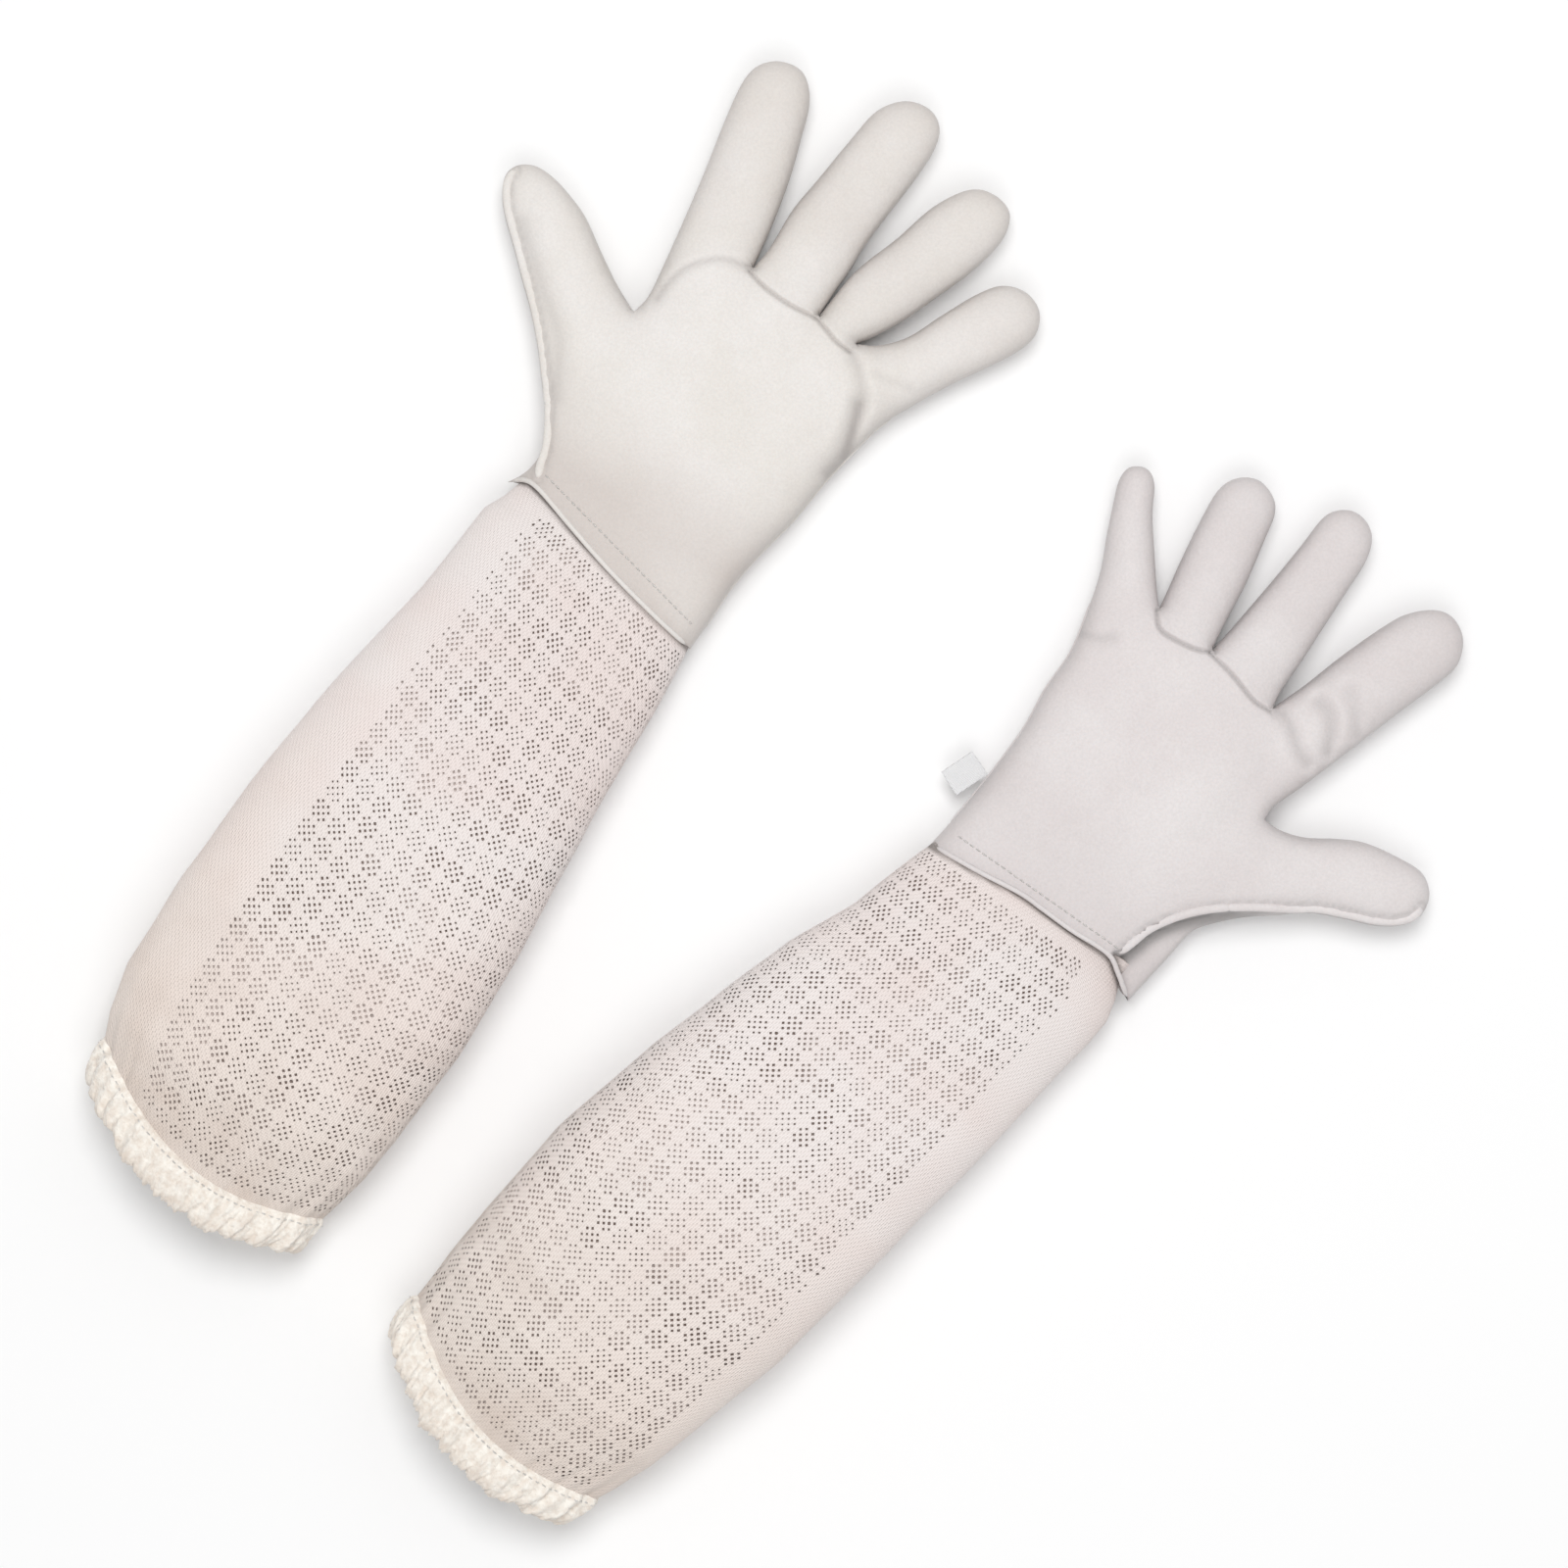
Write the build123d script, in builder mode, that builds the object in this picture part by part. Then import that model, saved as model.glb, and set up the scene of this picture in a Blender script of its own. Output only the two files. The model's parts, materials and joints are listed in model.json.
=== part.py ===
from build123d import *

import os
from dataclasses import dataclass
from math import atan2, cos, degrees, hypot, pi, radians, sin, sqrt

os.makedirs("parts", exist_ok=True)

# A pair of beekeeping gloves lying palm up. Lengths are in millimetres, +Z is up and +Y runs to the fingers.
# A glove is drawn in its own flat coordinates: x across, with the thumb on the minus side, and y from the
# wrist to the fingers. A turn is an angle in degrees from the fingers' direction towards the thumb.

# Leather
LEATHER = 1.5  # thickness of the goatskin
SEAM_HEIGHT = 13.0  # height of the side seam between the palm side and the back
SINK = 0.4  # how far the rounded undersides are pressed flat by the table
SLIT = 0.4  # space along each fold between two moving pieces
CLEAR_HEIGHT = 120.0  # taller than anything that is trimmed in plan
OVERRUN = 1.5  # how far a hollow runs back past the fold that opens it

# Wrist band
BAND_THICK = 1.6
BAND_WIDTH = 9.0
HEM_Y = -2.0  # the band's lower edge on the centre line
WRIST_TURN = -11.5  # the hem climbs towards the thumb

# Ventilated sleeve, from outside to inside
MESH_THICK = 1.1
SPACER_THICK = 2.4
LINING_THICK = 1.0
MESH_DEPTH = MESH_THICK
SPACER_DEPTH = MESH_DEPTH + SPACER_THICK
LINING_DEPTH = SPACER_DEPTH + LINING_THICK
SLEEVE_SEAM_THICK = 1.2
SLEEVE_SEAM_WIDTH = 8.0

# Elastic cuff
CUFF_WIDTH = 17.0
CUFF_SKIN = 1.3
ELASTIC_THICK = 1.4
ELASTIC_WIDTH = 9.0

# Raised seams and threads
THUMB_WELT_PROUD = 1.8
THUMB_WELT_WIDTH = 4.0
HAND_SEAM_PROUD = 1.0
HAND_SEAM_WIDTH = 3.0
THREAD = 0.4
THREAD_WIDTH = 0.9
WRIST_THREAD_UP = 6.8  # from the hem's lower edge
CUFF_THREAD_IN = 2.2  # from the cuff's upper edge

# Label tab on the right glove
LABEL_LENGTH = 15.0
LABEL_REACH = 11.0
LABEL_THICK = 0.8
LABEL_TURN = -80.5
LABEL_ROOT = (51.3, 15.5)

# Section shape
OVAL_POINTS = 16
OVAL_POWER = 2.5  # 2 is an ellipse, more is squarer

FINGER_BASE_HEIGHT = 27.0
FINGER_TIP_HEIGHT = 21.0
THUMB_BASE_HEIGHT = 31.0
THUMB_TIP_HEIGHT = 22.0
DOME_STEPS = (0.4, 0.7, 0.9, 0.985)


@dataclass
class Digit:
    """A finger or thumb: its fold at the base, the centre and width of later stations, and its tip."""

    name: str
    fold: tuple
    turn: float
    base_width: float
    stations: tuple
    tip: tuple
    base_height: float = FINGER_BASE_HEIGHT
    tip_height: float = FINGER_TIP_HEIGHT


@dataclass
class Glove:
    """One glove: where its wrist lies, its stations along the arm and hand, and its digits.

    A station is (y, x of the thumb side, x of the little-finger side, height).
    """

    name: str
    side: int
    origin: tuple
    turn: float
    sleeve: tuple
    hand: tuple
    thumb_notch: tuple
    thumb: Digit
    fingers: tuple


LEFT = Glove(
    name="left",
    side=1,
    origin=(-102.7, 46.7),
    turn=6.0,
    sleeve=(
        (-302, -52.0, 46.5, 40),
        (-284, -54.5, 48.5, 41),
        (-268, -57.5, 53.0, 46),
        (-236, -68.0, 58.5, 54),
        (-180, -69.0, 59.0, 56),
        (-110, -64.4, 53.5, 50),
        (-50, -55.0, 48.8, 42),
        (-12, -52.0, 45.0, 37),
        (4, -46.5, 43.8, 34),
        (20, -45.0, 43.5, 33),
    ),
    hand=(
        (-12, -50.0, 46.5, 36),
        (4, -48.1, 45.4, 35.6),
        (20, -46.6, 45.1, 34.6),
        (40, -56.0, 48.0, 34),
        (60, -62.0, 51.0, 34),
        (85, -52.0, 54.0, 33),
        (105, -47.5, 58.5, 31),
        (130, -51.0, 62.0, 28),
    ),
    thumb_notch=(-46.3, 22.5, 90.5),
    thumb=Digit(
        "thumb",
        fold=(-46.3, 55.5),
        turn=90.0,
        base_width=63.0,
        stations=((-61, 69.5, 44), (-76, 81, 35), (-93, 94.5, 31), (-107, 104, 26)),
        tip=(-118, 110),
        base_height=THUMB_BASE_HEIGHT,
        tip_height=THUMB_TIP_HEIGHT,
    ),
    fingers=(
        Digit("index", (-34.2, 122.5), 10.0, 29.5, ((-39.5, 150, 29.5), (-45.5, 184, 28.5)), (-48.5, 202.5)),
        Digit("middle", (-4.0, 122.5), -4.5, 29.0, ((-1.0, 158, 29.0), (1.8, 200, 28.0)), (3.5, 218.0)),
        Digit("ring", (24.5, 121.0), -16.0, 26.5, ((32.5, 150, 26.5), (43.5, 187, 26.0)), (49.5, 204.0)),
        Digit("little", (49.0, 111.8), -28.0, 23.5, ((61.0, 137, 23.5), (74.0, 164, 23.0)), (81.5, 179.0)),
    ),
)

RIGHT = Glove(
    name="right",
    side=-1,
    origin=(112.3, 49.7),
    turn=-6.6,
    sleeve=(
        (-310, -47.0, 51.0, 40),
        (-292, -50.0, 53.5, 41),
        (-270, -54.5, 57.5, 46),
        (-236, -57.5, 62.2, 54),
        (-180, -61.0, 65.6, 56),
        (-110, -58.0, 60.0, 50),
        (-50, -55.0, 49.3, 42),
        (-12, -53.0, 45.8, 37),
        (4, -49.8, 44.5, 34),
        (20, -49.5, 46.5, 33),
    ),
    hand=(
        (-12, -53.0, 47.0, 36),
        (4, -51.4, 46.1, 35.6),
        (20, -51.1, 48.1, 34.6),
        (40, -52.0, 52.5, 34),
        (60, -58.0, 58.0, 34),
        (85, -48.0, 64.5, 33),
        (105, -38.5, 70.0, 31),
        (130, -40.0, 74.0, 28),
    ),
    thumb_notch=(-44.0, 35.5, 91.5),
    thumb=Digit(
        "thumb",
        fold=(-44.0, 63.5),
        turn=90.0,
        base_width=54.5,
        stations=((-57, 76, 42), (-70, 88.5, 34), (-84, 99, 30), (-96, 106.3, 26.5)),
        tip=(-107.8, 111.5),
        base_height=THUMB_BASE_HEIGHT,
        tip_height=THUMB_TIP_HEIGHT,
    ),
    fingers=(
        Digit("index", (-23.8, 122.0), 6.5, 29.5, ((-27.5, 150, 29.5), (-31.0, 181, 28.5)), (-33.0, 198.0)),
        Digit("middle", (8.0, 120.0), -9.5, 29.5, ((14.0, 152, 28.5), (18.7, 183, 26.0)), (21.0, 199.5)),
        Digit("ring", (37.5, 116.5), -16.0, 26.0, ((46.5, 146, 26.0), (53.0, 166, 25.0)), (56.5, 180.5)),
        Digit("little", (60.5, 104.5), -39.5, 24.0, ((76.0, 123, 21.0), (90.5, 140.5, 17.0)), (98.0, 149.5)),
    ),
)


def place(glove, x, y):
    """A point of the glove's flat coordinates, on the table."""
    across = glove.side * x
    tilt = radians(glove.turn)
    table_x = glove.origin[0] + across * cos(tilt) - y * sin(tilt)
    table_y = glove.origin[1] + across * sin(tilt) + y * cos(tilt)
    return (table_x, table_y, 0)


def heading(glove, turn):
    """The level direction that a turn stands for."""
    angle = radians(90 + glove.turn + glove.side * turn)
    return (cos(angle), sin(angle), 0)


def upright(glove, x, y, turn):
    """An upright plane through a point, facing along a turn, with its own Y axis straight up."""
    facing = heading(glove, turn)
    return Plane(origin=place(glove, x, y), x_dir=(-facing[1], facing[0], 0), z_dir=facing)


def rounded(value):
    """A sine or cosine bent towards a squarer oval."""
    return abs(value) ** (2 / OVAL_POWER) * (1 if value > 0 else -1)


def oval(glove, x, y, turn, width, low, high):
    """A puffy section across the glove, centred on a point of the flat coordinates."""
    middle = (low + high) / 2
    corners = []
    for step in range(OVAL_POINTS):
        angle = 2 * pi * (step + 0.5) / OVAL_POINTS
        corners.append((width / 2 * rounded(cos(angle)), middle + (high - low) / 2 * rounded(sin(angle))))
    with BuildSketch(upright(glove, x, y, turn)) as section:
        with BuildLine():
            Spline(*corners, periodic=True)
        make_face()
    return section.sketch


def station_sections(glove, stations, inset):
    """Sections across the arm or the hand, pulled in by inset on every side."""
    sections = []
    for y, thumb_x, little_x, height in stations:
        middle = (thumb_x + little_x) / 2
        width = little_x - thumb_x - 2 * inset
        sections.append(oval(glove, middle, y, 0, width, inset - SINK, height - inset))
    return sections


def turn_between(start, end):
    """The turn that points from one flat point to another."""
    return degrees(atan2(start[0] - end[0], end[1] - start[1]))


def digit_sections(glove, digit, inset, overrun=0):
    """Sections from a digit's fold to its rounded tip, pulled in by inset on every side.

    The first one can stand back from the fold by an overrun.
    """
    centres = [digit.fold] + [(x, y) for x, y, _ in digit.stations] + [digit.tip]
    widths = [digit.base_width] + [width for _, _, width in digit.stations]
    last = len(widths) - 1
    drop = (digit.base_height - digit.tip_height) / last
    turn = digit.turn
    start = (digit.fold[0] + overrun * sin(radians(turn)), digit.fold[1] - overrun * cos(radians(turn)))
    sections = [oval(glove, *start, turn, widths[0] - 2 * inset, inset - SINK, digit.base_height - inset)]
    for index in range(1, last + 1):
        turn = (turn + turn_between(centres[index - 1], centres[index + 1])) / 2
        high = digit.base_height - drop * index - inset
        sections.append(oval(glove, *centres[index], turn, widths[index] - 2 * inset, inset - SINK, high))
    sections += dome_sections(glove, centres[last], digit.tip, widths[last], digit.tip_height, inset)
    return sections


def dome_sections(glove, start, tip, width, height, inset):
    """Shrinking sections that round off a fingertip."""
    turn = turn_between(start, tip)
    length = hypot(tip[0] - start[0], tip[1] - start[1])
    reach = (length - inset) / length
    middle = (height - SINK) / 2
    sections = []
    for step in DOME_STEPS:
        shrink = sqrt(1 - step**2)
        x = start[0] + (tip[0] - start[0]) * step * reach
        y = start[1] + (tip[1] - start[1]) * step * reach
        half = (height + SINK - 2 * inset) / 2 * shrink
        sections.append(oval(glove, x, y, turn, (width - 2 * inset) * shrink, middle - half, middle + half))
    return sections


def hand_plan(glove):
    """The hand seen from above, between the wrist fold, the thumb's notch and the fingers' folds."""
    wrist_y = HEM_Y + BAND_WIDTH / cos(radians(WRIST_TURN)) + SLIT
    climb = sin(radians(WRIST_TURN)) / cos(radians(WRIST_TURN))
    notch_x, notch_low, notch_high = glove.thumb_notch
    edge = 70.0
    outline = [(edge, wrist_y + climb * edge), (-edge, wrist_y - climb * edge), (-edge, notch_low)]
    outline += [(notch_x + SLIT, notch_low), (notch_x + SLIT, notch_high), (-edge, notch_high)]
    for digit in glove.fingers:
        facing = radians(digit.turn)
        along = (cos(facing), sin(facing))
        back = (digit.fold[0] + SLIT * sin(facing), digit.fold[1] - SLIT * cos(facing))
        half = digit.base_width / 2
        ends = [-half, half]
        if digit is glove.fingers[0]:
            ends[0] = -edge / 2
        if digit is glove.fingers[-1]:
            ends[1] = edge / 2
        outline += [(back[0] + along[0] * end, back[1] + along[1] * end) for end in ends]
    return [place(glove, x, y)[:2] for x, y in outline]


def keep_hand_plan(glove):
    """Trim the part being built to the hand's plan."""
    with BuildSketch() as plan:
        with BuildLine():
            Polyline(*hand_plan(glove), close=True)
        make_face()
    extrude(plan.sketch, amount=CLEAR_HEIGHT, both=True, mode=Mode.INTERSECT)


def keep_between(low, high):
    """Keep the part being built between two heights."""
    split(bisect_by=Plane.XY.offset(low), keep=Keep.TOP)
    split(bisect_by=Plane.XY.offset(high), keep=Keep.BOTTOM)


def keep_above(height):
    """Keep the part being built above a height."""
    split(bisect_by=Plane.XY.offset(height), keep=Keep.TOP)


def keep_ahead(glove, x, y, turn):
    """Keep what lies ahead of an upright plane."""
    split(bisect_by=upright(glove, x, y, turn), keep=Keep.TOP)


def keep_behind(glove, x, y, turn):
    """Keep what lies behind an upright plane."""
    split(bisect_by=upright(glove, x, y, turn), keep=Keep.BOTTOM)


def save(piece, name):
    """Label a finished piece and write it."""
    piece.part.label = name
    export_step(piece.part, f"parts/{name}.step")


def sleeve_layer(glove, outer_depth, inner_depth):
    """One fabric layer of the sleeve, from the cuff casing to the wrist fold."""
    cuff_top = glove.sleeve[0][0] + CUFF_WIDTH
    with BuildPart() as layer:
        loft(station_sections(glove, glove.sleeve, outer_depth))
        loft(station_sections(glove, glove.sleeve, inner_depth), mode=Mode.SUBTRACT)
        keep_ahead(glove, 0, cuff_top, 0)
        keep_behind(glove, 0, HEM_Y + BAND_WIDTH, WRIST_TURN)
        keep_above(0)
    return layer


def sleeve_pieces(glove):
    """The three fabric layers of the ventilated sleeve and its lengthwise seam."""
    save(sleeve_layer(glove, 0, MESH_DEPTH), f"{glove.name}_sleeve_mesh")
    save(sleeve_layer(glove, MESH_DEPTH, SPACER_DEPTH), f"{glove.name}_sleeve_spacer")
    save(sleeve_layer(glove, SPACER_DEPTH, LINING_DEPTH), f"{glove.name}_sleeve_lining")

    seam = sleeve_layer(glove, LINING_DEPTH, LINING_DEPTH + SLEEVE_SEAM_THICK)
    with BuildPart() as sleeve_seam:
        add(seam.part)
        keep_between(SEAM_HEIGHT - SLEEVE_SEAM_WIDTH / 2, SEAM_HEIGHT + SLEEVE_SEAM_WIDTH / 2)
        keep_behind(glove, 0, 0, 90)
    save(sleeve_seam, f"{glove.name}_sleeve_seam")


def cuff_ring(glove, outer_depth, inner_depth, low_y, high_y):
    """A ring of the sleeve's own oval between two places near the cuff."""
    with BuildPart() as ring:
        loft(station_sections(glove, glove.sleeve, outer_depth))
        loft(station_sections(glove, glove.sleeve, inner_depth), mode=Mode.SUBTRACT)
        keep_ahead(glove, 0, low_y, 0)
        keep_behind(glove, 0, high_y, 0)
        keep_above(0)
    return ring


def cuff_pieces(glove):
    """The folded casing, the elastic inside it and the thread that closes it."""
    end = glove.sleeve[0][0]
    top = end + CUFF_WIDTH
    elastic_low = end + (CUFF_WIDTH - ELASTIC_WIDTH) / 2
    elastic_depth = CUFF_SKIN + ELASTIC_THICK
    elastic = cuff_ring(glove, CUFF_SKIN, elastic_depth, elastic_low, elastic_low + ELASTIC_WIDTH)
    save(elastic, f"{glove.name}_cuff_elastic")

    folded = cuff_ring(glove, 0, LINING_DEPTH, end, top)
    with BuildPart() as cuff_casing:
        add(folded.part)
        add(elastic.part, mode=Mode.SUBTRACT)
    save(cuff_casing, f"{glove.name}_cuff_casing")

    thread_y = top - CUFF_THREAD_IN
    thread = cuff_ring(glove, -THREAD, 0, thread_y - THREAD_WIDTH, thread_y)
    with BuildPart() as cuff_stitching:
        add(thread.part)
        keep_above(SINK)
    save(cuff_stitching, f"{glove.name}_cuff_stitching")


def band_ring(glove, outer_depth, inner_depth, low_up, high_up):
    """A ring around the wrist between two distances up from the hem."""
    with BuildPart() as ring:
        loft(station_sections(glove, glove.sleeve, outer_depth))
        keep_ahead(glove, 0, HEM_Y + low_up, WRIST_TURN)
        keep_behind(glove, 0, HEM_Y + high_up, WRIST_TURN)
        keep_above(0)
        loft(station_sections(glove, glove.sleeve, inner_depth), mode=Mode.SUBTRACT)
    return ring


def wrist_pieces(glove):
    """The leather band over the sleeve's end and the thread along its upper edge."""
    save(band_ring(glove, -BAND_THICK, 0, 0, BAND_WIDTH), f"{glove.name}_wrist_band")
    thread_depth = -BAND_THICK - THREAD
    thread = band_ring(glove, thread_depth, -BAND_THICK, WRIST_THREAD_UP, WRIST_THREAD_UP + THREAD_WIDTH)
    with BuildPart() as wrist_stitching:
        add(thread.part)
        keep_above(SINK)
    save(wrist_stitching, f"{glove.name}_wrist_stitching")


def hand_shell(glove, outer_depth, inner_depth):
    """The hollow hand without its digits."""
    with BuildPart() as shell:
        loft(station_sections(glove, glove.hand, outer_depth))
        loft(station_sections(glove, glove.hand, inner_depth), mode=Mode.SUBTRACT)
        keep_hand_plan(glove)
    return shell


def hand_pieces(glove):
    """The palm panel, the back panel and the seam along the little-finger side."""
    shell = hand_shell(glove, 0, LEATHER)
    with BuildPart() as palm_panel:
        add(shell.part)
        keep_above(SEAM_HEIGHT)
    save(palm_panel, f"{glove.name}_palm_panel")

    with BuildPart() as back_panel:
        add(shell.part)
        keep_between(0, SEAM_HEIGHT)
    save(back_panel, f"{glove.name}_back_panel")

    ridge = hand_shell(glove, -HAND_SEAM_PROUD, 0)
    with BuildPart() as side_seam:
        add(ridge.part)
        keep_between(SEAM_HEIGHT - HAND_SEAM_WIDTH / 2, SEAM_HEIGHT + HAND_SEAM_WIDTH / 2)
        keep_behind(glove, 0, 0, 90)
    save(side_seam, f"{glove.name}_hand_seam")


def digit_shell(glove, digit, outer_depth, inner_depth):
    """A hollow digit, open at its fold."""
    with BuildPart() as shell:
        loft(digit_sections(glove, digit, outer_depth), ruled=True)
        loft(digit_sections(glove, digit, inner_depth, OVERRUN), ruled=True, mode=Mode.SUBTRACT)
    return shell


def digit_pieces(glove, digit):
    """The front and back leather of a digit."""
    shell = digit_shell(glove, digit, 0, LEATHER)
    with BuildPart() as front:
        add(shell.part)
        keep_above(SEAM_HEIGHT)
    save(front, f"{glove.name}_{digit.name}_front")

    with BuildPart() as back:
        add(shell.part)
        keep_between(0, SEAM_HEIGHT)
    save(back, f"{glove.name}_{digit.name}_back")


def thumb_welt(glove):
    """The raised seam along the thumb's outer edge, from its tip to the wrist."""
    inward = turn_between(glove.thumb.fold, glove.thumb.tip) - 90
    with BuildPart() as welt:
        loft(digit_sections(glove, glove.thumb, -THUMB_WELT_PROUD), ruled=True)
        keep_between(SEAM_HEIGHT - THUMB_WELT_WIDTH / 2, SEAM_HEIGHT + THUMB_WELT_WIDTH / 2)
        keep_behind(glove, *glove.thumb.fold, inward)
        loft(digit_sections(glove, glove.thumb, 0), ruled=True, mode=Mode.SUBTRACT)
    save(welt, f"{glove.name}_thumb_welt")


def label_tab(glove):
    """The blank woven tab caught in the little-finger side's seam."""
    x, y = LABEL_ROOT
    with BuildPart() as label:
        with BuildSketch(upright(glove, x, y, LABEL_TURN)):
            with Locations((0, SEAM_HEIGHT)):
                Rectangle(LABEL_LENGTH, LABEL_THICK)
        extrude(amount=LABEL_REACH)
    save(label, f"{glove.name}_label_tab")


for pair_member in (LEFT, RIGHT):
    sleeve_pieces(pair_member)
    cuff_pieces(pair_member)
    wrist_pieces(pair_member)
    hand_pieces(pair_member)
    for finger in pair_member.fingers:
        digit_pieces(pair_member, finger)
    digit_pieces(pair_member, pair_member.thumb)
    thumb_welt(pair_member)
label_tab(RIGHT)
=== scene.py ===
import json
from math import cos, pi, radians, sin

import bpy
import numpy as np
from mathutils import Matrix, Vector
from mathutils.geometry import delaunay_2d_cdt


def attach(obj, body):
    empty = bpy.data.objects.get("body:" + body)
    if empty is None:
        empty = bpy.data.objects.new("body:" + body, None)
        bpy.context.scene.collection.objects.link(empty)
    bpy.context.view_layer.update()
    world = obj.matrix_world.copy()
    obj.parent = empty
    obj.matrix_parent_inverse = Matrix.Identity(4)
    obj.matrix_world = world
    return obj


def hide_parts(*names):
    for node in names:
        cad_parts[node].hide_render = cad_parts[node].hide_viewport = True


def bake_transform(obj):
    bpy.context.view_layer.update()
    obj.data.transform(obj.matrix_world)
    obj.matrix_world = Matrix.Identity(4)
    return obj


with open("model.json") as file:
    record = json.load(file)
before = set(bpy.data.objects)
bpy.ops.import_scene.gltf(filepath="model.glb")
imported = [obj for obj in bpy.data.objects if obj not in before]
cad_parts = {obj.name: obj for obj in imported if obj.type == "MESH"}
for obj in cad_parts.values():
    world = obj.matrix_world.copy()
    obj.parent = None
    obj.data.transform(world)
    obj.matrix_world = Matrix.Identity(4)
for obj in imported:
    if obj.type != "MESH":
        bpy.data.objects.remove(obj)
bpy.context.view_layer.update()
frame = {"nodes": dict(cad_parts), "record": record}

MM = 0.001
JOINTS = {joint["name"]: joint for joint in frame["record"]["behaviour"]["joints"]}

# A glove is drawn in flat coordinates in millimetres: x across, with the thumb on the minus side, and y
# from the wrist to the fingers. Heights are in millimetres above the table.

WRIST_FOLD_Y = 7.384  # where the wrist fold crosses the middle of the glove
SEAM_HEIGHT = 13.0  # height of the side seams
SPAN_STEP = 1.25  # spacing of points along the leather's edge
GRID_STEP = 1.55  # spacing of points inside the leather
EDGE_RINGS = (0.22, 0.75, 1.55)  # distances in from the edge where the leather turns over
SHARP_WIDTH = 1.5  # creases narrower than this are drawn with closer points
PALM_RISE, PALM_EASE = 29.0, 14.6  # how high the palm side swells, and how slowly
BACK_DROP, BACK_EASE = 12.7, 2.3  # how far the back sinks below the seams, and how fast
WELT_INSET = 2.2  # the raised seam's line, in from the thumb's outer edge
WELT_WIDTH, WELT_HEIGHT = 1.75, 1.15  # half sizes of the raised seam
DIGITS = ("index", "middle", "ring", "little", "thumb")


class Glove:
    """One glove's frame, and the shape that sets it apart from the other."""

    def __init__(self, name, side, shape):
        self.name, self.side = name, side
        thumb_axis = Vector(JOINTS[name + "_thumb_fold"]["axis"]).normalized()
        self.forward = np.array(thumb_axis[:2]) * side
        self.across = np.array((self.forward[1], -self.forward[0])) * side
        fold = np.array(JOINTS[name + "_wrist_fold"]["pos_m"][:2]) / MM
        self.origin = fold - WRIST_FOLD_Y * self.forward
        for key, value in shape.items():
            setattr(self, key, value)

    def row(self, points):
        """Flat coordinates with heights, turned into the row's millimetres."""
        points = np.asarray(points, float)
        flat = self.origin + points[:, :1] * self.across + points[:, 1:2] * self.forward
        return np.column_stack((flat, points[:, 2])) if points.shape[1] == 3 else flat

    def along(self, joint_name, points):
        """How far flat points lie ahead of a joint's fold, and how far to its side, in millimetres."""
        joint = JOINTS[self.name + "_" + joint_name + "_fold"]
        axis = np.array(joint["axis"][:2])
        heading = np.array((-axis[1], axis[0]))
        apart = self.row(np.asarray(points)[:, :2]) - np.array(joint["pos_m"][:2]) / MM
        return apart @ heading, apart @ axis


# ---------------------------------------------------------------- shapes of the two gloves

# The leather's outline, one span for each digit: the thumb from the hem up, then index to little finger.
LEFT_SPANS = (
    ((-51, 3.2), (-47.8, 9), (-46.4, 14), (-46.8, 21), (-53.6, 33.6), (-60.6, 42), (-71, 54), (-81, 64),
     (-92, 73.5), (-100.5, 81), (-111, 90), (-117, 97.5), (-119.3, 104), (-117, 109.5), (-111, 112.8),
     (-103, 112.8), (-95, 111), (-84, 107), (-71, 99), (-59, 92), (-47, 86.5)),
    ((-47, 86.5), (-45.8, 95), (-48, 110), (-51, 127), (-55, 148), (-60, 171), (-62.3, 186),
     (-60.8, 194.5), (-55, 200.5), (-46.5, 202.5), (-40, 199), (-35, 192), (-31, 181), (-26, 166),
     (-22, 150), (-19.5, 137), (-17.8, 127)),
    ((-17.8, 127), (-16.9, 138), (-17.8, 155), (-16.2, 171), (-14.2, 192), (-12, 206), (-5, 215.3),
     (4.5, 218), (11.8, 214.5), (15.2, 206), (15.5, 192), (14.4, 174), (13.7, 160), (14.2, 148),
     (14, 138), (14.3, 126)),
    ((14.3, 126), (15, 138), (15.8, 146), (18, 155), (22.7, 169), (27.5, 187), (35.5, 200.5), (45, 204.3),
     (54, 201.5), (57.3, 191), (54.2, 174), (48.7, 158.6), (42.7, 143), (37, 132), (32.4, 125)),
    ((32.4, 125), (40, 129.5), (48, 139), (54, 153), (61, 168), (67.5, 176.5), (76.5, 179.4), (85, 176.3),
     (89, 168), (87, 158.5), (80, 145.5), (72, 132), (64.4, 117), (58.5, 104), (55.5, 90),
     (52.5, 72), (50.7, 53), (47.3, 35), (45.4, 18), (45.6, 2), (45.4, -11)),
)
LEFT_HEM = ((45.4, -11), (26, -8), (2, -3.2), (-20, 2.6), (-38, 7.6), (-45.5, 7.4), (-51, 3.2))

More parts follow.
